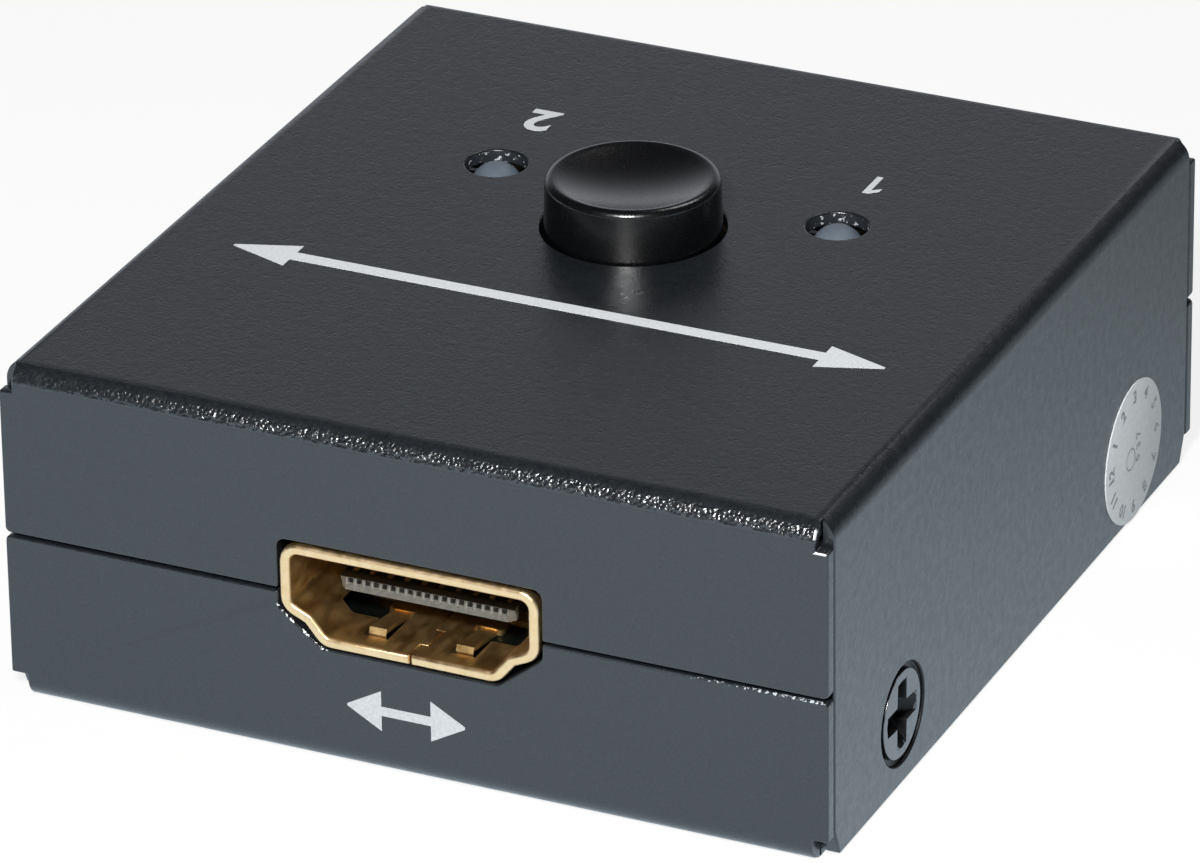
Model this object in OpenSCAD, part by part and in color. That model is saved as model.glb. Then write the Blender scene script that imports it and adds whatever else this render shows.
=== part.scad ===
// Two-way video switch box: a folded sheet-metal case holds a circuit board
// with one port in front, two ports behind, a latching push switch and two lamps.
// Millimetres. X runs along the front, Y runs to the rear and Z is up.
// The origin lies on the supporting surface, under the middle of the case.

/* [Case] */
// Width of the case, over the side walls
case_w = 48; // [47:0.5:60]
// Depth of the case, over the front and rear panels
case_d = 52; // [50:0.5:66]
// Height of the case, without the button
case_h = 20; // [19:0.5:26]
// Thickness of the sheet metal
sheet_t = 0.8; // [0.6:0.1:1]
// Inner radius of the bends
bend_r = 0.4; // [0.2:0.1:0.6]
// Gap between the upper and lower panels
seam_gap = 0.2; // [0.1:0.05:0.5]
// Gap between sheets that lie side by side
sheet_gap = 0.1; // [0.05:0.05:0.2]
// Slot beside each end bend, where it stops short of the corner
corner_slot = 0.1; // [0.1:0.05:0.4]
// Distance of the cover's end bends from the outside of the side walls
bend_inset = 0.75; // [0.75:0.05:1]
// Height of the notch between an end bend and the ear beside it
ear_notch = 0.3; // [0.1:0.05:0.8]
// Length of the cut across the lower corners of the side walls
corner_cut_y = 0.7; // [0.3:0.1:1.2]
// Height of the cut across the lower corners of the side walls
corner_cut_z = 1.6; // [0.5:0.1:2.5]

/* [Case screws] */
// Distance of the side screws from the front and rear panels
screw_inset = 10; // [9:0.5:12]
// Height of the side screws
screw_z = 4.2; // [3.6:0.1:4.8]
// Diameter of the screw shanks
screw_d = 2.9; // [2:0.1:3.2]
// Diameter of the countersunk heads
screw_head_d = 5; // [4.6:0.1:5.6]
// Length of a side screw with its head
screw_len = 4; // [3:0.25:5]
// Depth of the heads below the side walls
screw_sink = 0.05; // [0.05:0.05:0.3]
// Clearance round the screws
screw_gap = 0.05; // [0.02:0.01:0.1]
// Gap round the heads at the face of the side walls
screw_rim_gap = 0.4; // [0.1:0.05:0.5]
// Height of the straight rim of a countersunk head
screw_rim_t = 0.2; // [0.1:0.05:0.3]
// Width of the cross recess in the screw heads
recess_w = 4; // [2:0.1:4]
// Depth of the cross recess in the screw heads
recess_depth = 1.2; // [0.8:0.1:1.4]
// Width of the tray tabs that take the side screws
tab_w = 8; // [6:0.5:9]
// Height of the tray tabs
tab_h = 8.2; // [7.5:0.1:9]
// Length of the thread collar on each tab
collar_len = 1.2; // [0.8:0.1:1.6]
// Wall of the thread collar
collar_wall = 0.7; // [0.4:0.1:0.9]
// Diameter of the paper seal over one screw
seal_d = 8.4; // [6.5:0.1:8.4]
// Thickness of the paper seal
seal_t = 0.1; // [0.05:0.05:0.2]
// Distance of the seal's centre behind its screw
seal_shift = 0.95; // [0:0.05:1]
// Height of the seal's centre above its screw
seal_rise = 0.15; // [0:0.05:0.3]

/* [Ports] */
// Width of a port's opening
port_w = 13.9; // [13.5:0.1:14.5]
// Height of a port's opening
port_h = 4.6; // [4.3:0.05:4.8]
// Width of the opening along its floor
port_foot_w = 9.7; // [9.2:0.1:10.2]
// Width of the opening at the step in its lower corners
port_step_w = 11.5; // [11:0.1:12]
// Height of that step above the floor
port_step_h = 1.1; // [0.9:0.05:1.3]
// Height of the shoulder, where the straight sides begin
port_shoulder_h = 1.65; // [1.5:0.05:1.9]
// Corner radius of the opening
port_r = 0.5; // [0.3:0.05:0.6]
// Thickness of a port's metal shell
shell_t = 0.35; // [0.25:0.05:0.4]
// Length of a port's metal shell
shell_len = 11.7; // [10.5:0.1:12.5]
// Width of the lip round the mouth
lip_w = 0.25; // [0.15:0.05:0.35]
// Length of the lip
lip_len = 0.5; // [0.3:0.05:0.8]
// Distance that a port stands out of its panel
port_proud = 0.1; // [0:0.1:1]
// Gap between a port's lip and its panel
cut_gap = 0.15; // [0.1:0.05:0.3]
// Gap between a port and the board under it
port_lift = 0.05; // [0.02:0.01:0.1]
// Distance between the two rear ports
port_pitch = 22; // [19:0.5:24]
// Width of the tongue
tongue_w = 10.1; // [9.9:0.1:10.6]
// Thickness of the tongue
tongue_t = 0.9; // [0.8:0.05:1.1]
// Height of the tongue above the middle of the opening
tongue_up = 0; // [-0.2:0.05:0.4]
// Depth of the tongue behind the mouth
tongue_back = 2.2; // [1.2:0.1:2.8]
// Length of the insulator's rear block
block_len = 3.5; // [2.5:0.1:4.5]
// Clearance of the insulator in its shell
insulator_gap = 0.05; // [0.02:0.01:0.1]
// Number of contacts in the upper row
contact_n = 10; // [8:1:10]
// Spacing of the contacts in a row
contact_pitch = 1; // [0.9:0.01:1.05]
// Width of a contact
contact_w = 0.28; // [0.2:0.02:0.32]
// Thickness of a contact
contact_t = 0.15; // [0.1:0.01:0.2]
// Clearance of a contact in its groove
contact_gap = 0.06; // [0.03:0.01:0.08]
// Length of a contact's foot on the board
foot_len = 0.9; // [0.6:0.1:1.2]
// Spacing of the spring fingers in the shell
finger_pitch = 5.1; // [4.4:0.1:5.4]
// Width of a spring finger
finger_w = 1; // [0.8:0.1:1.2]
// Length of a spring finger's window
finger_len = 3.3; // [3:0.1:5]
// Height of a spring finger inside the opening
finger_rise = 0.35; // [0.2:0.05:0.5]

/* [Board] */
// Thickness of the circuit board
board_t = 1.6; // [1:0.1:2]
// Gap between the board and the panels and collars round it
board_gap = 0.4; // [0.3:0.1:0.6]
// Height of the standoffs
standoff_h = 4.8; // [4:0.1:6]
// Diameter of the standoffs
standoff_d = 5; // [4.6:0.1:5.6]
// Diameter of the stud that fixes a standoff in the tray
stud_d = 4.2; // [3.6:0.1:4.4]
// Distance of the board screws from the board's edges
hole_inset = 4; // [3.5:0.1:4.5]
// Diameter of the board screws' heads
pan_d = 5.4; // [4.6:0.1:5.6]
// Height of the board screws' heads
pan_h = 1.7; // [1.2:0.1:2]
// Width of the switching chip
chip_w = 7; // [5:0.5:8]
// Height of the switching chip
chip_h = 1.4; // [1:0.1:1.6]

/* [Lamps] */
// Distance of a lamp from the middle of the case
lamp_x = 10.3; // [9:0.1:12]
// Distance of the lamps behind the middle of the case
lamp_y = 7.2; // [6:0.1:8]
// Diameter of a lamp
lamp_d = 3; // [2.6:0.1:3.4]
// Height of a lamp with its dome
lamp_h = 5.3; // [4.6:0.1:5.6]
// Gap between a lamp and its hole
lamp_gap = 0.25; // [0.1:0.05:0.4]
// Depth of the dome below the top of the case
lamp_sink = 0; // [0:0.05:0.6]
// Width of a lamp's collar beyond its body
lamp_collar = 0.4; // [0.2:0.05:0.6]
// Spacing of a lamp's leads
lead_pitch = 2.54; // [2:0.02:2.6]
// Thickness of a lead
lead_t = 0.5; // [0.4:0.05:0.55]

/* [Push switch] */
// Distance of the button behind the middle of the case
button_y = 2.9; // [1:0.1:3]
// Diameter of the button at the top of the case
cap_d = 10; // [9.4:0.1:10.8]
// Taper of the button's radius from bottom to top
cap_taper = 0.15; // [0.1:0.05:0.4]
// Height of the button above the case
cap_proud = 3; // [2.6:0.1:4]
// Gap between the button and its hole
cap_gap = 0.15; // [0.1:0.05:0.4]
// Gap left between the pressed button and the switch under it
cap_clear = 1.3; // [0.3:0.1:1.4]
// Depth of the dish in the button
dish_depth = 0.7; // [0.3:0.05:1]
// Wall of the button
cap_wall = 1; // [0.8:0.1:1.2]
// Travel of the button
travel = 2; // [1.6:0.1:2.4]
// Width of the switch housing
housing_w = 8.5; // [8:0.1:9.5]
// Wall of the switch housing
housing_wall = 0.7; // [0.6:0.05:0.8]
// Thickness of the switch base
base_t = 1.1; // [1:0.05:1.2]
// Free play of the plunger above and below
rest_gap = 0.1; // [0.05:0.01:0.2]
// Width of the plunger's stem
stem_w = 3.4; // [3.2:0.05:3.6]
// Gap between the stem and the housing
stem_gap = 0.2; // [0.1:0.05:0.3]
// Clearance of the stem in the button
socket_gap = 0.03; // [0.01:0.01:0.05]
// Length of the return spring
spring_len = 8; // [7:0.1:8.5]
// Outside diameter of the return spring
spring_d = 2.2; // [2:0.05:2.3]
// Diameter of the spring wire
spring_wire = 0.3; // [0.25:0.01:0.35]
// Number of turns of the return spring
spring_turns = 9; // [5:1:10]
// Gap between the spring and the plunger's bore
spring_gap = 0.2; // [0.1:0.05:0.25]
// Thickness of the switch terminals and moving contacts
blade_t = 0.2; // [0.15:0.01:0.3]
// Spacing of the switch terminals
terminal_pitch = 2.2; // [1.8:0.1:2.5]
// Diameter of the latch pin
pin_d = 0.5; // [0.4:0.02:0.6]
// Clearance of the latch pin in its pivot
pin_gap = 0.05; // [0.02:0.01:0.08]
// Clearance of the latch pin in its track
track_gap = 0.12; // [0.08:0.01:0.15]
// Depth of the latch track
track_depth = 0.6; // [0.4:0.05:0.8]
// Height of the latch pin's pivot above the board
pivot_z = 0.55; // [0.5:0.01:0.6]
// Sideways swing of the latch pin's tip
pin_swing = 0.5; // [0.4:0.02:0.6]
// Thickness of the latch clip
clip_t = 0.25; // [0.2:0.01:0.3]

/* [Hidden] */
$fn = 48;
// Overlap of cutting bodies beyond the faces that they cut
cut = 1;

// Case
half_w = case_w / 2;
half_d = case_d / 2;
bend_out = bend_r + sheet_t;
bend_trim = bend_out - bend_inset + 0.1;
ear_lap = 0.05;
ear_w = sheet_t + sheet_gap + ear_lap;
wall_half_d = half_d - sheet_t - sheet_gap;
tray_half_w = half_w - sheet_t - sheet_gap;

// Case screws
screw_y = half_d - screw_inset;
thread_r = screw_d / 2 + screw_gap;
collar_r = thread_r + collar_wall;
collar_x = tray_half_w - sheet_t - collar_len;
tab_slot = 0.5;

// Board
board_z = sheet_t + standoff_h;
board_top = board_z + board_t;
board_half_w = collar_x - board_gap;
board_half_d = half_d - sheet_t - board_gap;
pin_hole_gap = 0.15;
board_hole_d = screw_d + 2 * pin_hole_gap;
solder_out = 1.2;
notch_w = screw_d + 2 * board_gap;
notch_x = half_w - screw_sink - screw_len - board_gap;

// Ports: a port's own origin is in the middle of its mouth, with Y into the case
port_z = board_top + port_lift + shell_t + port_h / 2;
port_floor = -port_h / 2;
port_board = -(port_z - board_top);
tongue_z = tongue_up - tongue_t / 2;
finger_start = lip_len + 0.7;
finger_lap = 0.25;
finger_crest = 0.4;
finger_tip = 0.25;
finger_drop = 0.35;
wall_lap = 0.1;
wall_cut = shell_t + lip_w + 2 * wall_lap;
finger_gap = 0.25;
finger_t = 0.25;
slit_w = 0.1;
slit_from = 1.4;
slit_to = 3.2;
slit_shift = 0.5;
side_window_x = 3.3;
side_window_y = 3.2;
side_window_len = 2.6;
side_window_h = 0.7;
leg_w = 1.2;
leg_front = 3.4;
leg_rear = 9;
leg_gap = 0.15;
leg_lap = 0.8;
tail_y = shell_len + 0.2;
tail_end = tail_y + foot_len;
contact_start = 0.7;
mouth_y = half_d + port_proud;
seam_z = port_z;
cover_panel_h = case_h - seam_z - seam_gap / 2;
tray_panel_h = seam_z - seam_gap / 2;

// Board screws stand beside the front port and in front of the rear ports
hole_x = board_half_w - hole_inset;
hole_front_y = -(board_half_d - hole_inset);
hole_rear_y = mouth_y - tail_end - hole_inset;
hole_places = [
  [-hole_x, hole_front_y], [hole_x, hole_front_y],
  [-hole_x, hole_rear_y], [hole_x, hole_rear_y]
];
pan_screw_len = 4.2;
stud_gap = 0.02;
standoff_floor = 0.4;

// Push switch: heights above the board
track_margin = 0.5;
track_w = pin_d + 2 * track_gap;
track_edge = 0.25;
notch_drop = 0.7;
slider_pin_gap = 0.2;
blade_room = 0.15;
blade_gap = 0.05;
housing_in = housing_w / 2 - housing_wall;
slider_bottom = base_t + travel + 2 * rest_gap;
slider_top = slider_bottom + track_margin + travel + track_w / 2 + track_edge;
housing_h = slider_top + rest_gap + housing_wall;
pin_y = -(housing_in - pin_d / 2 - pin_gap);
slider_w = 2 * (housing_in - 2 * blade_t - blade_room);
slider_d = 2 * (-pin_y - pin_d / 2 - slider_pin_gap);
spring_top = base_t + spring_len;
spring_r = (spring_d - spring_wire) / 2;
bore_r = spring_d / 2 + spring_gap;
spring_seat_gap = 0.03;
cap_bottom = board_top + housing_h + travel + cap_clear;
cap_top = case_h + cap_proud;
socket_roof = 1.6;
stem_top = cap_top - socket_roof - board_top;
track_home_z = slider_bottom + track_margin;
pin_len = track_home_z - pivot_z;
pin_reach = 0.1;
leg_step = 0.02;
window_w = 3;
terminal_w = 1;
terminal_h = slider_top - 0.8;
terminal_pin_w = 0.6;
terminal_x = housing_in - blade_t / 2;
terminal_gap = 0.05;
post_h = 1.2;
bridge_h = 1.4;
bridge_inset = 0.2;
bump_d = 0.7;

// Chip: centred between the front port's feet and the switch
chip_y = (-mouth_y + tail_end + button_y - housing_w / 2 - clip_t) / 2;
chip_lift = 0.1;
chip_lead_reach = 1;
chip_lead_pitch = 0.5;
chip_lead_w = 0.22;
chip_lead_t = 0.15;
chip_lead_drop = 0.25;

// Small parts on the board: length, width and height
small_part = [0.6, 1, 0.4];
resistor = [1.6, 0.8, 0.5];
capacitor = [3.2, 2.5, 1.6];
part_row = 1.2;
part_step = 1.5;

// Lamps
lamp_top = case_h - lamp_sink;
lamp_bottom = lamp_top - lamp_h;
lamp_flange_h = 1;
spacer_d = lamp_d + 2 * lamp_collar + 0.4;

// Shape helpers
function unit(v) = v / norm(v);
function before(pts, i) = pts[(i + len(pts) - 1) % len(pts)];
function after(pts, i) = pts[(i + 1) % len(pts)];
// Turn at a point of an outline that runs anticlockwise: 1 outward, -1 inward
function turn(pts, i) = sign(cross(pts[i] - before(pts, i), after(pts, i) - pts[i]));
// Outline moved outward by d
function grown(pts, d) = [
  for (i = [0 : len(pts) - 1])
    let (
      u = unit(pts[i] - before(pts, i)),
      v = unit(after(pts, i) - pts[i]),
      n = [u.y, -u.x],
      m = [v.y, -v.x]
    )
    pts[i] + d * (n + m) / (1 + n * m)
];
// Arc that rounds the corner b between a and c
function corner_arc(a, b, c, r, steps) =
  let (
    u = unit(a - b),
    v = unit(c - b),
    half = acos(u * v) / 2,
    centre = b + unit(u + v) * r / sin(half),
    p = b + u * r / tan(half) - centre,
    q = b + v * r / tan(half) - centre,
    start = atan2(p.y, p.x),
    sweep = (atan2(q.y, q.x) - start + 540) % 360 - 180
  )
  [for (i = [0 : steps]) centre + r * [cos(start + sweep * i / steps), sin(start + sweep * i / steps)]];
// Outline with each corner rounded by its own radius
function rounded(pts, radii, steps = 4) = [
  for (i = [0 : len(pts) - 1]) each corner_arc(before(pts, i), pts[i], after(pts, i), radii[i], steps)
];

module both_sides() {
  children();
  mirror([1, 0, 0]) children();
}

module both_ends() {
  children();
  mirror([0, 1, 0]) children();
}

// A profile's X stays X and its Y becomes Z
module along_y(length) {
  translate([0, length, 0]) rotate([90, 0, 0]) linear_extrude(length) children();
}

// A profile's X becomes Y and its Y becomes Z, with the length centred on X
module along_x(length) {
  rotate([90, 0, 90]) translate([0, 0, -length / 2]) linear_extrude(length) children();
}

// Straight groove with round ends, from p to q
module lane(p, q, width) {
  translate(p) circle(d = width);
  translate(q) circle(d = width);
  translate(p) rotate(atan2(q.y - p.y, q.x - p.x)) translate([0, -width / 2]) square([norm(q - p), width]);
}

// Cross recess of a screw head whose top is at Z 0
module cross_recess() {
  arm_w = 1.2;
  taper = (recess_w - arm_w) / recess_depth;
  intersection() {
    translate([0, 0, -recess_depth]) {
      cylinder(h = recess_depth + cut, d1 = arm_w, d2 = recess_w + cut * taper);
    }
    union() {
      for (a = [0, 90]) {
        rotate(a) translate([-recess_w, -arm_w / 2, -recess_depth]) {
          cube([2 * recess_w, arm_w, recess_depth + cut]);
        }
      }
    }
  }
}

// Sheet metal

// Edge of a plate bent up, with its outer faces on Y 0 and Z 0
// The flat part of the edge is shorter at each end by trim
module folded_edge(length, height, trim = 0) {
  along_x(length) {
    translate([bend_out, bend_out]) {
      intersection() {
        difference() {
          circle(bend_out);
          circle(bend_r);
        }
        translate([-bend_out, -bend_out]) square(bend_out);
      }
    }
    translate([0, bend_out]) square([sheet_t, height - bend_out]);
  }
  along_x(length - 2 * trim) translate([bend_out, 0]) square([sheet_t, sheet_t]);
}

// Front and rear panels with ears over the ends of the side walls
module end_panels(height, inset, trim = 0) {
  ear_from = bend_out + ear_notch;
  both_ends() {
    translate([0, -half_d, 0]) {
      folded_edge(case_w - 2 * inset, height, trim);
      both_sides() {
        translate([half_w - 2 * ear_w, 0, ear_from]) cube([2 * ear_w, sheet_t, height - ear_from]);
      }
    }
  }
}

// Outside of the cover, seen from the front
module cover_profile() {
  translate([-half_w, 0]) square([case_w, case_h - bend_out]);
  translate([-half_w + bend_out, 0]) square([case_w - 2 * bend_out, case_h]);
  both_sides() translate([half_w - bend_out, case_h - bend_out]) circle(bend_out);
}

// Openings for the ports in the panels
module port_cuts() {
  reach = shell_t + lip_w + cut_gap;
  opening = grown([
    [-port_foot_w / 2, port_floor], [port_foot_w / 2, port_floor],
    [port_w / 2, port_floor + port_shoulder_h], [port_w / 2, -port_floor],
    [-port_w / 2, -port_floor], [-port_w / 2, port_floor + port_shoulder_h]
  ], reach);
  radii = [for (p = opening) port_r];
  translate([0, -half_d - cut, port_z]) along_y(sheet_t + 2 * cut) polygon(rounded(opening, radii));
  both_sides() {
    translate([port_pitch / 2, half_d - sheet_t - cut, port_z]) {
      along_y(sheet_t + 2 * cut) polygon(rounded(opening, radii));
    }
  }
}

// Side screw, lying along X with its head outward, enlarged by grow
module side_screw(grow = 0) {
  head_r = screw_head_d / 2 + grow;
  shank_r = screw_d / 2 + grow;
  cone = head_r - shank_r;
  rotate([0, -90, 0]) {
    cylinder(h = screw_rim_t, r = head_r);
    translate([0, 0, screw_rim_t]) cylinder(h = cone, r1 = head_r, r2 = shank_r);
    cylinder(h = screw_len + grow, r = shank_r);
  }
}

// Places of the side screws, with their heads towards the outside
module at_side_screws() {
  both_sides() {
    both_ends() {
      translate([half_w - screw_sink, screw_y, screw_z]) children();
    }
  }
}

module top_cover() {
  span = case_w - 2 * bend_inset + 2 * corner_slot;
  room = bend_out + corner_slot;
  color("#43474a") difference() {
    union() {
      difference() {
        translate([0, -wall_half_d, 0]) along_y(2 * wall_half_d) {
          translate([-half_w + bend_out, case_h - sheet_t]) square([case_w - 2 * bend_out, sheet_t]);
          both_sides() {
            translate([half_w - bend_out, case_h - bend_out]) {
              intersection() {
                difference() {
                  circle(bend_out);
                  circle(bend_r);
                }
                square(bend_out);
              }
            }
            translate([half_w - sheet_t, sheet_gap]) square([sheet_t, case_h - bend_out - sheet_gap]);
          }
        }
        // Room for the end bends
        both_ends() {
          translate([-span / 2, half_d - bend_out, case_h - room]) cube([span, bend_out, room + cut]);
        }
      }
      intersection() {
        translate([0, 0, case_h]) mirror([0, 0, 1]) end_panels(cover_panel_h, bend_inset, bend_trim);
        translate([0, -half_d - cut, 0]) along_y(case_d + 2 * cut) cover_profile();
      }
    }
    port_cuts();
    translate([0, button_y, case_h - sheet_t - cut]) cylinder(h = sheet_t + 2 * cut, d = cap_d + 2 * cap_gap);
    both_sides() {
      translate([lamp_x, lamp_y, case_h - sheet_t - cut]) {
        cylinder(h = sheet_t + 2 * cut, d = lamp_d + 2 * lamp_gap);
      }
    }
    at_side_screws() {
      side_screw(screw_gap);
      translate([-screw_rim_t - screw_gap, 0, 0]) rotate([0, 90, 0]) {
        cylinder(h = screw_rim_t + screw_gap + screw_sink + cut, d = screw_head_d + 2 * screw_rim_gap);
      }
    }
    // Cuts across the lower corners of the side walls
    both_ends() {
      along_x(case_w + 2 * cut) {
        polygon([
          [wall_half_d + cut, 0], [wall_half_d + cut, sheet_gap + corner_cut_z],
          [wall_half_d, sheet_gap + corner_cut_z], [wall_half_d - corner_cut_y, sheet_gap],
          [wall_half_d - corner_cut_y, 0]
        ]);
      }
    }
  }
}

module bottom_tray() {
  color("#43474a") difference() {
    union() {
      difference() {
        translate([-tray_half_w, -half_d + bend_out, 0]) {
          cube([2 * tray_half_w, case_d - 2 * bend_out, sheet_t]);
        }
        // Room for the bends of the tabs
        both_sides() {
          both_ends() {
            translate([tray_half_w - bend_out, screw_y - tab_w / 2 - tab_slot, -cut]) {
              cube([bend_out + cut, tab_w + 2 * tab_slot, sheet_t + 2 * cut]);
            }
          }
        }
      }
      end_panels(tray_panel_h, ear_w);
      both_sides() {
        both_ends() {
          translate([tray_half_w, screw_y, 0]) rotate(90) folded_edge(tab_w, tab_h);
          translate([collar_x, screw_y, screw_z]) rotate([0, 90, 0]) {
            cylinder(h = collar_len + sheet_t / 2, r = collar_r);
          }
        }
      }
    }
    port_cuts();
    at_side_screws() side_screw(screw_gap);
    for (p = hole_places) {
      translate([p.x, p.y, -cut]) cylinder(h = sheet_t + 2 * cut, d = stud_d);
    }
  }
}

module case_screws() {
  color("#1b1c1e") at_side_screws() difference() {
    side_screw();
    rotate([0, 90, 0]) cross_recess();
  }
}

module screw_seal() {
  color("#c9ced0") translate([half_w, screw_y + seal_shift, screw_z + seal_rise]) {
    rotate([0, 90, 0]) cylinder(h = seal_t, d = seal_d);
  }
}

// Circuit board

module board_standoffs() {
  color("#b9bcbd") for (p = hole_places) {
    translate(p) difference() {
      union() {
        cylinder(h = sheet_t + standoff_floor, d = stud_d - 2 * stud_gap);
        translate([0, 0, sheet_t]) cylinder(h = standoff_h, d = standoff_d);
      }
      translate([0, 0, sheet_t + standoff_floor]) cylinder(h = standoff_h, r = thread_r);
    }
  }
}

module board_screws() {
  color("#c4c6c6") for (p = hole_places) {
    translate([p.x, p.y, board_top]) difference() {
      union() {
        cylinder(h = pan_h, d = pan_d);
        translate([0, 0, -pan_screw_len]) cylinder(h = pan_screw_len + pan_h / 2, d = screw_d);
      }
      translate([0, 0, pan_h]) cross_recess();
    }
  }
}

module circuit_board() {
  color("#1f5a3a") difference() {
    translate([-board_half_w, -board_half_d, board_z]) {
      cube([2 * board_half_w, 2 * board_half_d, board_t]);
    }
    for (p = hole_places) {
      translate([p.x, p.y, board_z - cut]) cylinder(h = board_t + 2 * cut, d = board_hole_d);
    }
    // Notches in the edges, where the side screws come in
    both_sides() {
      both_ends() {
        translate([notch_x, screw_y - notch_w / 2, board_z - cut]) cube([half_w, notch_w, board_t + 2 * cut]);
      }
    }
    at_ports() port_legs(leg_gap);
    both_sides() {
      for (s = [-1, 1]) {
        translate([lamp_x + s * lead_pitch / 2, lamp_y, board_z - cut]) {
          cylinder(h = board_t + 2 * cut, d = lead_t * sqrt(2) + pin_hole_gap);
        }
      }
      for (s = [-1, 0, 1]) {
        translate([terminal_x, button_y + s * terminal_pitch, board_z - cut]) {
          cylinder(h = board_t + 2 * cut, d = terminal_pin_w + 2 * pin_hole_gap);
        }
      }
    }
  }
}

// Ports

module at_front_port() {
  translate([0, -mouth_y, port_z]) children();
}

module at_rear_port(side) {
  translate([side * port_pitch / 2, mouth_y, port_z]) rotate(180) children();
}

module at_ports() {
  at_front_port() children();
  at_rear_port(1) children();
  at_rear_port(-1) children();
}

// Outline of a port's opening, moved outward by grow
function port_outline(grow) =
  let (
    pts = [
      [-port_foot_w / 2, port_floor], [port_foot_w / 2, port_floor],
      [port_step_w / 2, port_floor + port_step_h], [port_w / 2, port_floor + port_shoulder_h],
      [port_w / 2, -port_floor], [-port_w / 2, -port_floor],
      [-port_w / 2, port_floor + port_shoulder_h], [-port_step_w / 2, port_floor + port_step_h]
    ]
  )
  rounded(grown(pts, grow), [for (i = [0 : len(pts) - 1]) max(port_r + grow * turn(pts, i), port_r / 4)]);

// Legs of the shell, through the board
module port_legs(grow = 0) {
  leg_top = port_floor + port_shoulder_h + leg_lap;
  leg_bottom = port_board - board_t - solder_out;
  both_sides() {
    for (y = [leg_front, leg_rear]) {
      translate([port_w / 2 - grow, y - leg_w / 2 - grow, leg_bottom - grow]) {
        cube([shell_t + 2 * grow, leg_w + 2 * grow, leg_top - leg_bottom + 2 * grow]);
      }
    }
  }
}

// Spring finger of the shell's floor, with its free end towards the mouth
module port_finger() {
  root_y = finger_start + finger_len;
  root_z = port_floor - shell_t / 2;
  crest_y = finger_start + finger_crest;
  crest_z = port_floor + finger_rise - finger_t / 2;
  tip_y = finger_start + finger_tip;
  tip_z = crest_z - finger_drop;
  rise = [0, finger_t / 2];
  middle = [[root_y + finger_lap, root_z], [root_y - finger_lap, root_z], [crest_y, crest_z], [tip_y, tip_z]];
  last = len(middle) - 1;
  along_x(finger_w) {
    polygon(concat([for (p = middle) p - rise], [for (i = [last : -1 : 0]) middle[i] + rise]));
  }
}

module port_shell() {
  slot_w = finger_w + 2 * finger_gap;
  wall_from = port_floor + wall_lap - wall_cut;
  color("#d8b777") {
    difference() {
      union() {
        along_y(shell_len) polygon(port_outline(shell_t));
        along_y(lip_len) polygon(port_outline(shell_t + lip_w));
        port_legs();
      }
      translate([0, -cut, 0]) along_y(shell_len + 2 * cut) polygon(port_outline(0));
      // Windows of the spring fingers
      for (x = [-1, 1], z = [-port_floor - wall_lap, wall_from]) {
        translate([x * finger_pitch / 2 - slot_w / 2, finger_start, z]) cube([slot_w, finger_len, wall_cut]);
      }
      // Windows in the lower corners
      both_sides() {
        translate([side_window_x, side_window_y, wall_from]) {
          cube([port_step_w / 2 + shell_t - side_window_x, side_window_len, port_floor + side_window_h - wall_from]);
        }
      }
      // Seam of the shell, stepped sideways where its two edges hook together
      translate([-slit_w / 2, 0, wall_from]) {
        translate([0, -cut, 0]) cube([slit_w, slit_from + cut, wall_cut]);
        for (y = [slit_from, slit_to]) {
          translate([0, y - slit_w / 2, 0]) cube([slit_shift + slit_w, slit_w, wall_cut]);
        }
        translate([slit_shift, slit_from, 0]) cube([slit_w, slit_to - slit_from, wall_cut]);
        translate([0, slit_to, 0]) cube([slit_w, shell_len - slit_to + cut, wall_cut]);
      }
    }
    both_sides() {
      translate([finger_pitch / 2, 0, 0]) port_finger();
      mirror([0, 0, 1]) translate([finger_pitch / 2, 0, 0]) port_finger();
    }
  }
}

// Places across the tongue of the upper or lower row of contacts
function contact_places(row) =
  let (count = row > 0 ? contact_n : contact_n - 1)
  [for (i = [0 : count - 1]) (i - (count - 1) / 2) * contact_pitch];

// Height of the underside of a row's contacts
function contact_z(row) = row > 0 ? tongue_z + tongue_t - contact_t : tongue_z;

module port_insulator() {
  groove_w = contact_w + 2 * contact_gap;
  color("#4a4641") difference() {
    union() {
      translate([0, shell_len - block_len, 0]) along_y(block_len) polygon(port_outline(-insulator_gap));
      translate([-tongue_w / 2, tongue_back, tongue_z]) cube([tongue_w, shell_len - tongue_back, tongue_t]);
    }
    for (row = [-1, 1], x = contact_places(row)) {
      translate([x - groove_w / 2, 0, contact_z(row) - contact_gap]) {
        cube([groove_w, shell_len + cut, contact_t + 2 * contact_gap]);
      }
    }
  }
}

module port_contacts() {
  color("#d9b25f") for (row = [-1, 1], x = contact_places(row)) {
    translate([x - contact_w / 2, 0, 0]) {
      strip_y = tongue_back + contact_start;
      translate([0, strip_y, contact_z(row)]) cube([contact_w, tail_y + contact_t - strip_y, contact_t]);
      translate([0, tail_y, port_board]) {
        cube([contact_w, contact_t, contact_z(row) + contact_t - port_board]);
        cube([contact_w, foot_len, contact_t]);
      }
    }
  }
}

// Parts on the board

module switching_chip() {
  color("#232426") translate([-chip_w / 2, chip_y - chip_w / 2, board_top + chip_lift]) {
    cube([chip_w, chip_w, chip_h]);
  }
}

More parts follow.
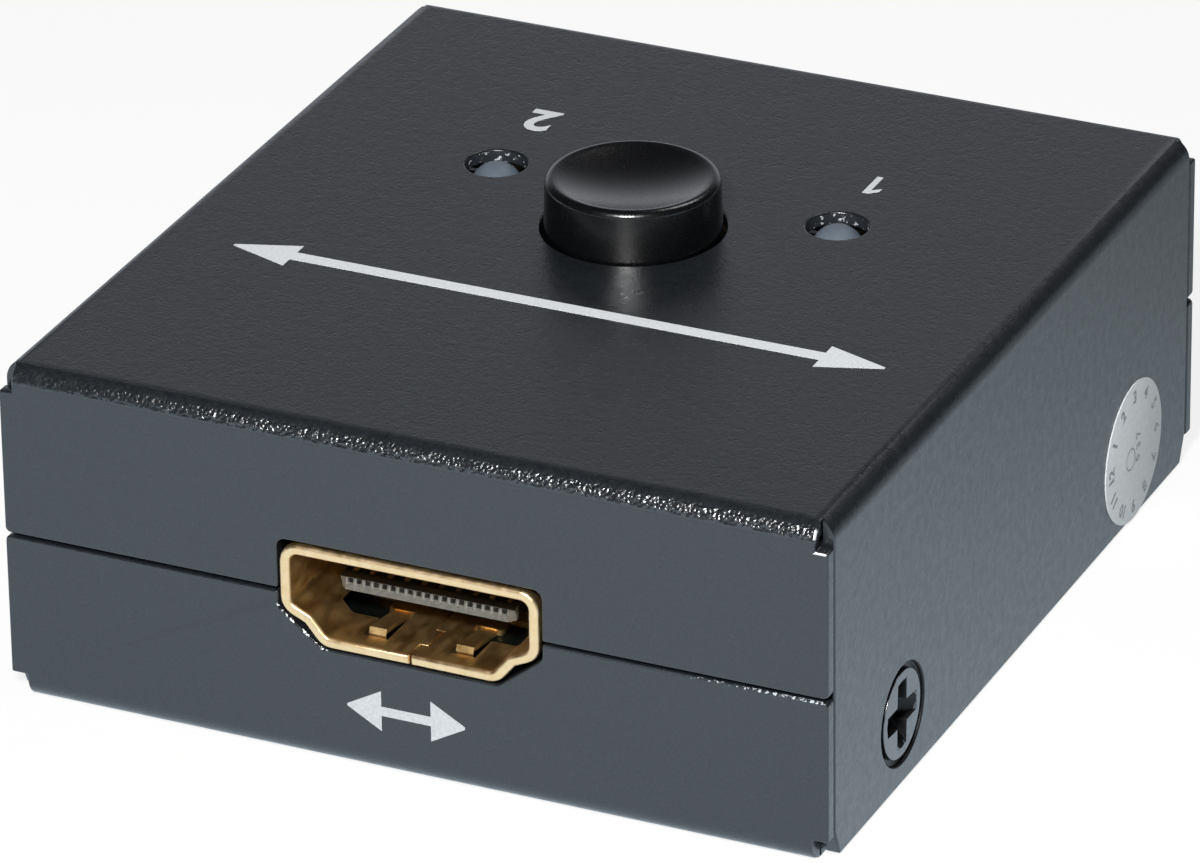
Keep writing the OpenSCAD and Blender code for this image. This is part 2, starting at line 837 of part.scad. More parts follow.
module chip_leads() {
  per_side = floor((chip_w - 1) / chip_lead_pitch);
  middle_z = board_top + chip_lift + chip_h / 2;
  color("#c2c4c4") for (a = [0, 90, 180, 270], i = [0 : per_side - 1]) {
    place = (i - (per_side - 1) / 2) * chip_lead_pitch;
    translate([0, chip_y, 0]) rotate(a) translate([place, chip_w / 2, 0]) {
      along_x(chip_lead_w) {
        translate([0, middle_z - chip_lead_t]) square([chip_lead_drop + chip_lead_t, chip_lead_t]);
        translate([chip_lead_drop, board_top]) {
          square([chip_lead_t, middle_z - board_top]);
          square([chip_lead_reach - chip_lead_drop, chip_lead_t]);
        }
      }
    }
  }
}

// One chip resistor or capacitor, lying along X
module chip_part(size) {
  translate([-size.x / 2, -size.y / 2, 0]) cube(size);
}

module chip_parts() {
  front_x = contact_n * contact_pitch / 2 + part_step;
  color("#8d7a5f") translate([0, 0, board_top]) both_sides() {
    // Across the lines of each port
    for (i = [0, 1]) {
      translate([front_x + i * part_step, -mouth_y + tail_end + part_row, 0]) chip_part(small_part);
    }
    for (i = [-1.5, -0.5, 0.5, 1.5]) {
      translate([port_pitch / 2 + i * part_step, mouth_y - tail_end - part_row, 0]) chip_part(small_part);
    }
    // For the lamps
    translate([lamp_x, lamp_y - spacer_d, 0]) chip_part(resistor);
    // For the supply of the chip
    translate([chip_w / 2 + chip_lead_reach + part_step, chip_y, 0]) {
      for (i = [-1, 1]) translate([0, i * part_step, 0]) chip_part(resistor);
      translate([capacitor.x, 0, 0]) chip_part(capacitor);
    }
  }
}

// Lamps, each at its side of the case

module lamp(side) {
  r = lamp_d / 2;
  dome_z = lamp_h - r;
  color("#dfe3e6") translate([side * lamp_x, lamp_y, lamp_bottom]) rotate_extrude() {
    polygon(concat(
      [[0, 0], [r + lamp_collar, 0], [r + lamp_collar, lamp_flange_h], [r, lamp_flange_h]],
      [for (a = [0 : 10 : 80]) [r * cos(a), dome_z + r * sin(a)]],
      [[0, lamp_h]]
    ));
  }
}

module lamp_leads(side) {
  bottom = board_z - solder_out;
  color("#b9bcbd") for (s = [-1, 1]) {
    translate([side * lamp_x + s * lead_pitch / 2 - lead_t / 2, lamp_y - lead_t / 2, bottom]) {
      cube([lead_t, lead_t, lamp_bottom - bottom]);
    }
  }
}

module lamp_spacer(side) {
  color("#2b2d2f") translate([side * lamp_x, lamp_y, board_top]) difference() {
    cylinder(h = lamp_bottom - board_top, d = spacer_d);
    for (s = [-1, 1]) {
      translate([s * lead_pitch / 2, 0, -cut]) {
        cylinder(h = case_h, d = lead_t * sqrt(2) + pin_hole_gap);
      }
    }
  }
}

// Push switch

module at_switch() {
  translate([0, button_y, board_top]) children();
}

module switch_base() {
  notch_y = -pin_y - pin_d / 2 - pin_gap;
  slot_t = blade_t + 2 * terminal_gap;
  slot_w = terminal_w + 2 * terminal_gap;
  color("#2a2a2c") at_switch() difference() {
    union() {
      translate([-housing_w / 2, -housing_w / 2, 0]) cube([housing_w, housing_w, base_t]);
      cylinder(h = base_t + post_h, r = spring_r - spring_wire / 2 - spring_gap);
    }
    // Room for the latch pin, and the bearing of its lower leg
    translate([-window_w / 2, -housing_w / 2 - cut, -cut]) {
      cube([window_w, housing_w / 2 - notch_y + cut, base_t + 2 * cut]);
    }
    translate([0, 0, pivot_z]) rotate([90, 0, 0]) cylinder(h = housing_w, d = pin_d + 2 * pin_gap);
    both_sides() {
      for (s = [-1, 0, 1]) {
        translate([terminal_x - slot_t / 2, s * terminal_pitch - slot_w / 2, -cut]) {
          cube([slot_t, slot_w, base_t + 2 * cut]);
        }
      }
    }
  }
}

module switch_housing() {
  window_h = track_home_z + pin_d - base_t;
  hole_w = stem_w + 2 * stem_gap;
  color("#262729") at_switch() difference() {
    translate([-housing_w / 2, -housing_w / 2, base_t]) cube([housing_w, housing_w, housing_h - base_t]);
    translate([-housing_in, -housing_in, base_t - cut]) {
      cube([2 * housing_in, 2 * housing_in, housing_h - housing_wall - base_t + cut]);
    }
    translate([-hole_w / 2, -hole_w / 2, base_t]) cube([hole_w, hole_w, housing_h]);
    translate([-window_w / 2, -housing_w / 2 - cut, base_t - cut]) {
      cube([window_w, housing_wall + 2 * cut, window_h + cut]);
    }
  }
}

module switch_terminals() {
  pin_bottom = -board_t - solder_out;
  color("#c7b173") at_switch() both_sides() {
    for (s = [-1, 0, 1]) {
      translate([housing_in - blade_t, s * terminal_pitch, 0]) {
        translate([0, -terminal_w / 2, 0]) cube([blade_t, terminal_w, terminal_h]);
        translate([0, -terminal_pin_w / 2, pin_bottom]) cube([blade_t, terminal_pin_w, cut - pin_bottom]);
      }
    }
  }
}

module switch_plunger() {
  home = [0, track_home_z];
  top_left = [-pin_swing, track_home_z + travel];
  top_right = [pin_swing, track_home_z + travel];
  notch = [0, track_home_z + travel - notch_drop];
  color("#e4e2da") at_switch() difference() {
    union() {
      translate([-slider_w / 2, -slider_d / 2, slider_bottom]) {
        cube([slider_w, slider_d, slider_top - slider_bottom]);
      }
      translate([-stem_w / 2, -stem_w / 2, slider_bottom]) cube([stem_w, stem_w, stem_top - slider_bottom]);
    }
    translate([0, 0, slider_bottom - cut]) cylinder(h = spring_top - slider_bottom + cut, r = bore_r);
    // Heart-shaped track of the latch pin
    translate([0, -slider_d / 2 - cut, 0]) along_y(track_depth + cut) {
      lane(home, top_left, track_w);
      lane(top_left, notch, track_w);
      lane(notch, top_right, track_w);
      lane(top_right, home, track_w);
    }
  }
}

// Bridges on the slider, one for each row of terminals
module moving_contacts() {
  bridge_z = terminal_h - bridge_h - bridge_inset;
  color("#c7b173") at_switch() both_sides() {
    translate([slider_w / 2, -slider_d / 2 + bridge_inset, bridge_z]) {
      cube([blade_t, slider_d - 2 * bridge_inset, bridge_h]);
    }
    for (s = [-1, 0, 1]) {
      translate([slider_w / 2 + blade_t / 2, s * terminal_pitch, bridge_z + bridge_h / 2]) {
        rotate([0, 90, 0]) cylinder(h = blade_t / 2 + blade_room - blade_gap, d = bump_d);
      }
    }
  }
}

// Return spring: one wire along a helix
spring_rise = spring_len - spring_wire - 2 * spring_seat_gap;
spring_start = base_t + spring_seat_gap + spring_wire / 2;
spring_rings = 8;
spring_sides = 6;
spring_last = spring_rings * spring_turns;
function spring_middle(turns) = [
  spring_r * cos(360 * turns), spring_r * sin(360 * turns), spring_start + spring_rise * turns / spring_turns
];
function spring_ring(turns) =
  let (
    out = [cos(360 * turns), sin(360 * turns), 0],
    along = unit([-2 * PI * spring_r * out.y, 2 * PI * spring_r * out.x, spring_rise / spring_turns]),
    up = cross(out, along)
  )
  [
    for (s = [0 : spring_sides - 1])
      let (a = 360 * s / spring_sides)
      spring_middle(turns) + spring_wire / 2 * (cos(a) * out + sin(a) * up)
  ];
spring_spacing = min([
  for (i = [0 : spring_last], j = [i + spring_rings / 2 : 1 : spring_last])
    norm(spring_middle(j / spring_rings) - spring_middle(i / spring_rings))
]);
echo(str("Least gap of the return spring to itself: ", spring_spacing - spring_wire, " mm"));

module return_spring() {
  points = [for (i = [0 : spring_last]) each spring_ring(i / spring_rings)];
  side_faces = [
    for (i = [0 : spring_last - 1], s = [0 : spring_sides - 1])
      let (
        a = i * spring_sides + s,
        b = i * spring_sides + (s + 1) % spring_sides
      )
      each [[a, b, b + spring_sides], [a, b + spring_sides, a + spring_sides]]
  ];
  far_end = spring_last * spring_sides;
  end_faces = [
    for (s = [1 : spring_sides - 2])
      each [[0, s + 1, s], [far_end, far_end + s, far_end + s + 1]]
  ];
  color("#b4b7b8") at_switch() polyhedron(points, concat(side_faces, end_faces));
}

// Latch pin: a wire staple, its lower leg in the base and its upper leg in the track
module latch_pin() {
  leg_d = pin_d - 2 * leg_step;
  lower_len = 1.6;
  upper_end = -slider_d / 2 + track_depth - pin_reach;
  color("#aeb1b2") at_switch() {
    translate([0, pin_y, pivot_z - pin_d / 2]) cylinder(h = pin_len + pin_d, d = pin_d);
    translate([0, pin_y + lower_len, pivot_z]) rotate([90, 0, 0]) cylinder(h = lower_len, d = leg_d);
    translate([0, upper_end, track_home_z]) rotate([90, 0, 0]) cylinder(h = upper_end - pin_y, d = leg_d);
  }
}

// Latch clip: a spring strap round the housing, with a tongue that holds the pin in
module latch_clip() {
  arm_len = 3.2;
  arm_h = 2.6;
  strap_h = 4.6;
  strap_z = base_t + 0.5;
  press_w = 1.4;
  press_h = 0.8;
  press_z = strap_z + 0.4;
  front = -housing_w / 2 - clip_t;
  color("#bfc2c3") at_switch() {
    translate([-housing_w / 2 - clip_t, front, strap_z]) cube([housing_w + 2 * clip_t, clip_t, strap_h]);
    both_sides() {
      translate([housing_w / 2, front, strap_z + (strap_h - arm_h) / 2]) cube([clip_t, arm_len, arm_h]);
    }
    translate([-press_w / 2, front, press_z]) cube([press_w, pin_y - pin_d / 2 - pin_gap - front, press_h]);
  }
}

module button_cap() {
  bottom_r = cap_d / 2;
  top_r = bottom_r - cap_taper;
  edge_r = 0.5;
  dish_r = top_r - edge_r;
  ball_r = (dish_r * dish_r + dish_depth * dish_depth) / (2 * dish_depth);
  roof_z = cap_top - dish_depth - cap_wall;
  boss_wall = 0.8;
  socket_w = stem_w + 2 * socket_gap;
  boss_w = socket_w + 2 * boss_wall;
  rib_t = 0.8;
  rib_z = cap_bottom + 1;
  lap = 0.2;
  color("#17181a") translate([0, button_y, 0]) {
    difference() {
      union() {
        difference() {
          rotate_extrude() polygon(concat(
            [[0, cap_bottom], [bottom_r, cap_bottom]],
            corner_arc([bottom_r, cap_bottom], [top_r, cap_top], [0, cap_top], edge_r, 6),
            [[0, cap_top]]
          ));
          translate([0, 0, cap_bottom - cut]) cylinder(h = roof_z - cap_bottom + cut, r = top_r - cap_wall);
        }
        translate([-boss_w / 2, -boss_w / 2, cap_bottom]) cube([boss_w, boss_w, roof_z - cap_bottom + lap]);
        for (a = [0, 90]) {
          rotate(a) translate([-top_r + cap_wall / 2, -rib_t / 2, rib_z]) {
            cube([2 * top_r - cap_wall, rib_t, roof_z - rib_z + lap]);
          }
        }
      }
      translate([0, 0, cap_top - dish_depth + ball_r]) sphere(ball_r);
      translate([-socket_w / 2, -socket_w / 2, cap_bottom - cut]) {
        cube([socket_w, socket_w, cap_top - socket_roof - cap_bottom + socket_gap + cut]);
      }
    }
  }
}

top_cover();
bottom_tray();
case_screws();
screw_seal();
board_standoffs();
board_screws();
circuit_board();
at_front_port() port_shell();  // front_port_shell
at_front_port() port_insulator();  // front_port_insulator
at_front_port() port_contacts();  // front_port_contacts
at_rear_port(1) port_shell();  // rear_port_1_shell
at_rear_port(1) port_insulator();  // rear_port_1_insulator
at_rear_port(1) port_contacts();  // rear_port_1_contacts
at_rear_port(-1) port_shell();  // rear_port_2_shell
at_rear_port(-1) port_insulator();  // rear_port_2_insulator
at_rear_port(-1) port_contacts();  // rear_port_2_contacts
switching_chip();
chip_leads();
chip_parts();
lamp(1);  // lamp_1
lamp_leads(1);  // lamp_1_leads
lamp_spacer(1);  // lamp_1_spacer
lamp(-1);  // lamp_2
lamp_leads(-1);  // lamp_2_leads
lamp_spacer(-1);  // lamp_2_spacer
switch_base();
switch_housing();
switch_terminals();
switch_plunger();
moving_contacts();
return_spring();
latch_pin();
latch_clip();
button_cap();
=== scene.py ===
import bpy
import bmesh
import math
from mathutils import Matrix, Vector


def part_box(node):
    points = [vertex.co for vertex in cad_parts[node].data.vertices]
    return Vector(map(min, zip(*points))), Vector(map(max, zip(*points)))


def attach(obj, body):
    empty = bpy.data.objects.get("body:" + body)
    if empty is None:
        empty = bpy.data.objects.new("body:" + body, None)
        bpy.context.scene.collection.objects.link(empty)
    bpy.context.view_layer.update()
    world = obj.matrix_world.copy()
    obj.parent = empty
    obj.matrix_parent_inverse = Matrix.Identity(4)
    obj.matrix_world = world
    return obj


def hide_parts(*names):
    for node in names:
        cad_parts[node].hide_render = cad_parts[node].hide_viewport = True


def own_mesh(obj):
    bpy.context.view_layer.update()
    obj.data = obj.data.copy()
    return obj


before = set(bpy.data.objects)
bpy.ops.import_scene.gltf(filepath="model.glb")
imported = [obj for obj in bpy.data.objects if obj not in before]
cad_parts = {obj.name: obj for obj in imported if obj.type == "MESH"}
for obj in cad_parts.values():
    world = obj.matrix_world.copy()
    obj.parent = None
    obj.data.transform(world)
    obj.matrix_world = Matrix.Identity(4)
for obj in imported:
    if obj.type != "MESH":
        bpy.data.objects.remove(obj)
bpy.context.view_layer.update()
scene = bpy.context.scene
scene.view_settings.view_transform = "Standard"
mm = 0.001
quarter = math.pi / 2
near = 0.01  # millimetres from a plane at which a point counts as on it
mergeWithin = 0.001  # millimetres between corners of a CAD mesh that are one point
flatWithin = 0.5  # degrees between faces of a CAD mesh that are one face
sharpFrom = 40  # degrees between faces from which an edge is rounded
noiseLow, noiseHigh = 0.3, 0.7  # most of a noise lies between these
glossSpread = (0.85, 1.2)  # shares of its roughness that a plain finish varies between


def srgb(code):  # "rrggbb" to linear colour
    parts = [int(code[i:i + 2], 16) / 255 for i in (0, 2, 4)]
    return [c / 12.92 if c <= 0.04045 else ((c + 0.055) / 1.055) ** 2.4 for c in parts] + [1.0]


def addNode(tree, kind, inputs=None, **settings):
    node = tree.nodes.new(kind)
    for name, value in settings.items():
        setattr(node, name, value)
    for socket, value in (inputs or {}).items():
        if isinstance(value, bpy.types.NodeSocket):
            tree.links.new(value, node.inputs[socket])
        else:
            node.inputs[socket].default_value = value
    return node


def newMaterial(name):
    material = bpy.data.materials.new(name)
    material.use_nodes = True
    tree = material.node_tree
    return material, tree, tree.nodes["Principled BSDF"]


def perMm(size):  # noise scale that gives one grain every size millimetres
    return 1 / (size * mm)


def takeUp(obj):  # the operators that follow act on this object alone
    if bpy.context.object and bpy.context.object.mode != "OBJECT":
        bpy.ops.object.mode_set(mode="OBJECT")
    bpy.ops.object.select_all(action="DESELECT")
    obj.select_set(True)
    bpy.context.view_layer.objects.active = obj


def added(operator, **settings):  # a new object, with nothing else selected
    bpy.ops.object.select_all(action="DESELECT")
    operator(**settings)
    return bpy.context.object


def edit(obj, kind="EDGE"):
    takeUp(obj)
    bpy.ops.object.mode_set(mode="EDIT")
    bpy.ops.mesh.select_mode(type=kind)
    bpy.ops.mesh.select_all(action="DESELECT")


def editAll(obj, kind="FACE"):  # edit mode with everything selected
    edit(obj, kind)
    bpy.ops.mesh.select_all(action="SELECT")


def leave():  # back to object mode
    bpy.ops.object.mode_set(mode="OBJECT")


def pick(obj, kind, test):  # selects what passes the test, in edit mode
    bpy.ops.mesh.select_mode(type=kind)
    bpy.ops.mesh.select_all(action="DESELECT")
    mesh = bmesh.from_edit_mesh(obj.data)
    items = {"VERT": mesh.verts, "EDGE": mesh.edges, "FACE": mesh.faces}[kind]
    found = 0
    for item in items:
        if test(item):
            item.select_set(True)
            found += 1
    bmesh.update_edit_mesh(obj.data)
    return found


def drawOut(x, y, z):  # extrudes what is selected, by millimetres
    bpy.ops.mesh.extrude_region_move(TRANSFORM_OT_translate={"value": (x * mm, y * mm, z * mm)})


def middle(edge):
    return (edge.verts[0].co + edge.verts[1].co) / 2


def within(x=None, y=None, z=None):  # a test for points between these limits, in millimetres
    return lambda p: all(not limits or limits[0] < at < limits[1] for at, limits in zip(p, (x, y, z)))


def useModifier(obj, kind, **settings):
    takeUp(obj)
    modifier = obj.modifiers.new(kind.lower(), kind)
    for name, value in settings.items():
        setattr(modifier, name, value)
    bpy.ops.object.modifier_apply(modifier=modifier.name)


def smooth(obj, angle=30):
    takeUp(obj)
    bpy.ops.object.shade_smooth_by_angle(angle=math.radians(angle))


def normalsOut(obj):  # faces all look outward
    editAll(obj)
    bpy.ops.mesh.normals_make_consistent(inside=False)
    leave()


def joined(objs):
    takeUp(objs[0])
    for obj in objs[1:]:
        obj.select_set(True)
    bpy.ops.object.join()
    return objs[0]


def copied(obj, turn):  # a copy with its own mesh, turned or moved in the mesh
    mesh = obj.data.copy()
    mesh.transform(turn)
    twin = bpy.data.objects.new(obj.name, mesh)
    scene.collection.objects.link(twin)
    return twin


def settle(obj, name, material, body="case", nodes=()):  # a finished piece, at the origin and on its body
    takeUp(obj)
    bpy.ops.object.transform_apply(location=True, rotation=True, scale=True)
    obj.name = name
    obj.data.name = name
    if not obj.data.materials:
        obj.data.materials.append(material)
    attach(obj, body)
    if nodes:
        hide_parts(*nodes)
    return obj


viewing = {  # fitted to the case's edges, in degrees, pixels and millimetres
    "azimuth": 24.9116, "elevation": 26.8526, "roll": -0.7868,
    "focalPixels": 9003.39, "imageWidth": 1200,
    "across": 0.8686, "upward": -7.7567, "distance": 499.09,
}


def makeCamera(v):
    a, e, r = (math.radians(v[k]) for k in ("azimuth", "elevation", "roll"))
    back = Vector((math.sin(a) * math.cos(e), -math.cos(a) * math.cos(e), math.sin(e)))
    level = Vector((math.cos(a), math.sin(a), 0))
    upright = back.cross(level)
    right = level * math.cos(r) + upright * math.sin(r)
    up = upright * math.cos(r) - level * math.sin(r)
    place = (back * v["distance"] - right * v["across"] - up * v["upward"]) * mm
    data = bpy.data.cameras.new("photoCamera")
    data.sensor_width = 36
    data.sensor_fit = "HORIZONTAL"
    data.lens = v["focalPixels"] / v["imageWidth"] * data.sensor_width
    data.clip_start, data.clip_end = 0.01, 20
    camera = bpy.data.objects.new("photoCamera", data)
    scene.collection.objects.link(camera)
    camera.matrix_world = Matrix.Translation(place) @ Matrix((right, up, back)).transposed().to_4x4()
    scene.camera = camera


makeCamera(viewing)
print("camera placed")

studio = {
    "floorRadius": 4, "floorColour": "f4f4f2", "floorRoughness": 0.9, "floorShine": 0.1,
    "floorGlow": 0.8, "seenGlow": 1.05,
    # mirrored in the case the floor is a cool white that fades to the rear
    "mirrored": "ddf0fd", "fadeFrom": -0.02, "fadeTo": 0.06, "nearGlow": 1.36, "farGlow": 0.45,
    # a dim room with a pale backdrop behind the left of the case, brightest near the floor
    "roomColour": "f2f6ff", "roomStrength": 0.04, "backdropWay": (-0.42, 0.907, 0),
    "backdropSide": (0.72, 0.93), "backdropHeight": (0.0, 0.65), "backdropStrength": (0.95, 0.08),
    # one beside the camera and a weak one at the rear
    "softboxes": [
        {"place": (0.064, -0.234, 0.192), "size": (0.042, 0.042), "power": 1.03},
        {"place": (0.12, 0.30, 0.52), "size": (0.20, 0.20), "power": 0.5},
    ],
    "aim": (0, 0, 0.01),
}


def makeStudio(s):
    floor = added(bpy.ops.mesh.primitive_circle_add, vertices=96, radius=s["floorRadius"], fill_type="NGON")
    floor.name = "floor"
    material, tree, shader = newMaterial("pale studio floor")
    shader.inputs["Base Color"].default_value = srgb(s["floorColour"])
    shader.inputs["Roughness"].default_value = s["floorRoughness"]
    shader.inputs["Specular IOR Level"].default_value = s["floorShine"]
    # seen straight or in a reflection the floor is white, and its shadow stays
    path = addNode(tree, "ShaderNodeLightPath")
    seen = addNode(tree, "ShaderNodeMath", {0: path.outputs["Is Camera Ray"], 1: path.outputs["Is Glossy Ray"]},
                   operation="MAXIMUM")
    seen = addNode(tree, "ShaderNodeMath", {0: seen.outputs[0], 1: path.outputs["Is Transmission Ray"]},
                   operation="MAXIMUM")
    share = addNode(tree, "ShaderNodeMath", {0: seen.outputs[0], 1: s["floorGlow"]}, operation="MULTIPLY")
    place = addNode(tree, "ShaderNodeSeparateXYZ", {0: addNode(tree, "ShaderNodeTexCoord").outputs["Object"]})
    fade = addNode(tree, "ShaderNodeMapRange", {0: place.outputs["Y"], 1: s["fadeFrom"], 2: s["fadeTo"],
                                                3: s["nearGlow"], 4: s["farGlow"]})
    strength = addNode(tree, "ShaderNodeMix",
                       {0: path.outputs["Is Glossy Ray"], 2: s["seenGlow"], 3: fade.outputs[0]})
    tint = addNode(tree, "ShaderNodeMix", {0: path.outputs["Is Glossy Ray"], 6: (1, 1, 1, 1), 7: srgb(s["mirrored"])},
                   data_type="RGBA")
    glow = addNode(tree, "ShaderNodeEmission", {"Color": tint.outputs[2], "Strength": strength.outputs[0]})
    mix = addNode(tree, "ShaderNodeMixShader", {0: share.outputs[0], 1: shader.outputs[0], 2: glow.outputs[0]})
    tree.links.new(mix.outputs[0], tree.nodes["Material Output"].inputs["Surface"])
    floor.data.materials.append(material)

    world = bpy.data.worlds.new("dim studio room")
    world.use_nodes = True
    tree = world.node_tree
    way = addNode(tree, "ShaderNodeTexCoord").outputs["Generated"]
    towards = addNode(tree, "ShaderNodeVectorMath", {0: way, 1: s["backdropWay"]}, operation="DOT_PRODUCT")
    height = addNode(tree, "ShaderNodeSeparateXYZ", {0: way})
    aside = addNode(tree, "ShaderNodeMapRange", {0: towards.outputs["Value"], 1: s["backdropSide"][0],
                                                 2: s["backdropSide"][1]}, interpolation_type="SMOOTHSTEP")
    pale = addNode(tree, "ShaderNodeMapRange", {0: height.outputs["Z"], 1: s["backdropHeight"][0],
                                                2: s["backdropHeight"][1], 3: s["backdropStrength"][0],
                                                4: s["backdropStrength"][1]}, interpolation_type="SMOOTHSTEP")
    backdrop = addNode(tree, "ShaderNodeMath", {0: aside.outputs[0], 1: pale.outputs[0]}, operation="MULTIPLY")
    strength = addNode(tree, "ShaderNodeMath", {0: backdrop.outputs[0], 1: s["roomStrength"]}, operation="ADD")
    background = tree.nodes["Background"]
    background.inputs["Color"].default_value = srgb(s["roomColour"])
    tree.links.new(strength.outputs[0], background.inputs["Strength"])
    scene.world = world

    for box in s["softboxes"]:
        data = bpy.data.lights.new("softbox", "AREA")
        data.shape = "RECTANGLE"
        data.size, data.size_y = box["size"]
        data.energy = box["power"]
        lamp = bpy.data.objects.new("softbox", data)
        scene.collection.objects.link(lamp)
        lamp.location = box["place"]
        aim = Vector(s["aim"]) - Vector(box["place"])
        lamp.rotation_euler = aim.to_track_quat("-Z", "Y").to_euler()


makeStudio(studio)
print("studio lit")

coatLook = {
    "dark": "171a1d", "pale": "212529", "roughness": 0.3, "unevenGloss": (-0.04, 0.05), "shine": 0.75,
    "grain": 0.17, "detail": 2.0, "peel": 0.6, "peelShare": 0.5, "height": 0.018,
    "pit": "0a0c0d", "pitEvery": 0.5, "pitEdge": (0.06, 0.2), "pitShare": 0.6,
}
# over a bend the coat is drawn thin: its grains stand up and sparkle, in a band of heights, less at the left
bendLook = {
    **coatLook, "roughness": 0.28, "shine": 1.0, "grain": 0.2, "detail": 0.5, "height": 0.12,
    "band": (19.05, 19.85, 0.25), "thinning": (-22, -10), "thinShare": 0.4,
}


def coated(name, look):
    # Dark slate polyester powder coat on folded steel: a dry, sandy skin that
    # mirrors a pale table faintly at low angles.
    material, tree, shader = newMaterial(name)
    place = addNode(tree, "ShaderNodeTexCoord").outputs["Object"]
    grain = addNode(tree, "ShaderNodeTexNoise",
                    {"Vector": place, "Scale": perMm(look["grain"]), "Detail": look["detail"], "Roughness": 0.6})
    peel = addNode(tree, "ShaderNodeTexNoise",
                   {"Vector": place, "Scale": perMm(look["peel"]), "Detail": 1.0})
    pits = addNode(tree, "ShaderNodeTexVoronoi", {"Vector": place, "Scale": perMm(look["pitEvery"])})
    shade = addNode(tree, "ShaderNodeMapRange", {0: grain.outputs[0], 1: noiseLow, 2: noiseHigh})
    tint = addNode(tree, "ShaderNodeMix", {0: shade.outputs[0], 6: srgb(look["dark"]), 7: srgb(look["pale"])},
                   data_type="RGBA")
    pitMask = addNode(tree, "ShaderNodeMapRange",
                      {0: pits.outputs["Distance"], 1: look["pitEdge"][0], 2: look["pitEdge"][1],
                       3: look["pitShare"], 4: 0.0})
    colour = addNode(tree, "ShaderNodeMix",
                     {0: pitMask.outputs[0], 6: tint.outputs[2], 7: srgb(look["pit"])}, data_type="RGBA")
    glossiest, dullest = (look["roughness"] + change for change in look["unevenGloss"])
    gloss = addNode(tree, "ShaderNodeMapRange",
                    {0: peel.outputs[0], 1: noiseLow, 2: noiseHigh, 3: glossiest, 4: dullest})
    wave = addNode(tree, "ShaderNodeMath", {0: peel.outputs[0], 1: look["peelShare"]}, operation="MULTIPLY")
    relief = addNode(tree, "ShaderNodeMath", {0: grain.outputs[0], 1: wave.outputs[0]}, operation="ADD")
    if "band" in look:  # the relief dies away at both sides of a band of heights
        low, high, fade = (size * mm for size in look["band"])
        start, end = (size * mm for size in look["thinning"])
        mean = (1 + look["peelShare"]) / 2
        at = addNode(tree, "ShaderNodeSeparateXYZ", {0: place})
        rising = addNode(tree, "ShaderNodeMapRange", {0: at.outputs["Z"], 1: low, 2: low + fade},
                         interpolation_type="SMOOTHSTEP")
        falling = addNode(tree, "ShaderNodeMapRange", {0: at.outputs["Z"], 1: high, 2: high - fade},
                          interpolation_type="SMOOTHSTEP")
        along = addNode(tree, "ShaderNodeMapRange",
                        {0: at.outputs["X"], 1: start, 2: end, 3: look["thinShare"], 4: 1.0})
        share = addNode(tree, "ShaderNodeMath", {0: rising.outputs[0], 1: falling.outputs[0]}, operation="MULTIPLY")
        share = addNode(tree, "ShaderNodeMath", {0: share.outputs[0], 1: along.outputs[0]}, operation="MULTIPLY")
        level = addNode(tree, "ShaderNodeMath", {0: relief.outputs[0], 1: mean}, operation="SUBTRACT")
        relief = addNode(tree, "ShaderNodeMath", {0: level.outputs[0], 1: share.outputs[0]}, operation="MULTIPLY")
    bump = addNode(tree, "ShaderNodeBump",
                   {"Height": relief.outputs[0], "Strength": 1.0, "Distance": look["height"] * mm})
    tree.links.new(colour.outputs[2], shader.inputs["Base Color"])
    tree.links.new(gloss.outputs[0], shader.inputs["Roughness"])
    tree.links.new(bump.outputs[0], shader.inputs["Normal"])
    shader.inputs["Specular IOR Level"].default_value = look["shine"]
    return material


def simple(name, dark, pale, roughness, grain, height=0.0, metallic=0.0, stretch=(1, 1, 1),
           change=(noiseLow, noiseHigh), along=None, **sockets):
    # One grain drives the shade, the gloss and the relief of a plain finish. Moulded and
    # plated skins are too fine to show, so theirs is drawn as coarse as it needs to be.
    material, tree, shader = newMaterial(name)
    place = addNode(tree, "ShaderNodeTexCoord").outputs["Object"]
    turned = addNode(tree, "ShaderNodeMapping", {"Vector": place, "Scale": stretch})
    noise = addNode(tree, "ShaderNodeTexNoise",
                    {"Vector": turned.outputs[0], "Scale": perMm(grain), "Detail": 3.0})
    wear = noise
    if along:  # more of the pale shade towards the far end of a range of x
        start, end = (size * mm for size in along["x"])
        at = addNode(tree, "ShaderNodeSeparateXYZ", {0: place})
        more = addNode(tree, "ShaderNodeMapRange",
                       {0: at.outputs["X"], 1: start, 2: end, 3: along["more"][0], 4: along["more"][1]})
        wear = addNode(tree, "ShaderNodeMath", {0: noise.outputs[0], 1: more.outputs[0]}, operation="ADD")
    shade = addNode(tree, "ShaderNodeMapRange", {0: wear.outputs[0], 1: change[0], 2: change[1]})
    tint = addNode(tree, "ShaderNodeMix", {0: shade.outputs[0], 6: srgb(dark), 7: srgb(pale)}, data_type="RGBA")
    gloss = addNode(tree, "ShaderNodeMapRange",
                    {0: noise.outputs[0], 1: noiseLow, 2: noiseHigh,
                     3: roughness * glossSpread[0], 4: roughness * glossSpread[1]})
    tree.links.new(tint.outputs[2], shader.inputs["Base Color"])
    tree.links.new(gloss.outputs[0], shader.inputs["Roughness"])
    if height:
        bump = addNode(tree, "ShaderNodeBump",
                       {"Height": noise.outputs[0], "Strength": 1.0, "Distance": height * mm})
        tree.links.new(bump.outputs[0], shader.inputs["Normal"])
    shader.inputs["Metallic"].default_value = metallic
    for socket, value in sockets.items():
        shader.inputs[socket.replace("_", " ")].default_value = value
    return material


powderCoat = coated("powder coat, sand texture", coatLook)
bendCoat = coated("powder coat, sandy over a bend", bendLook)
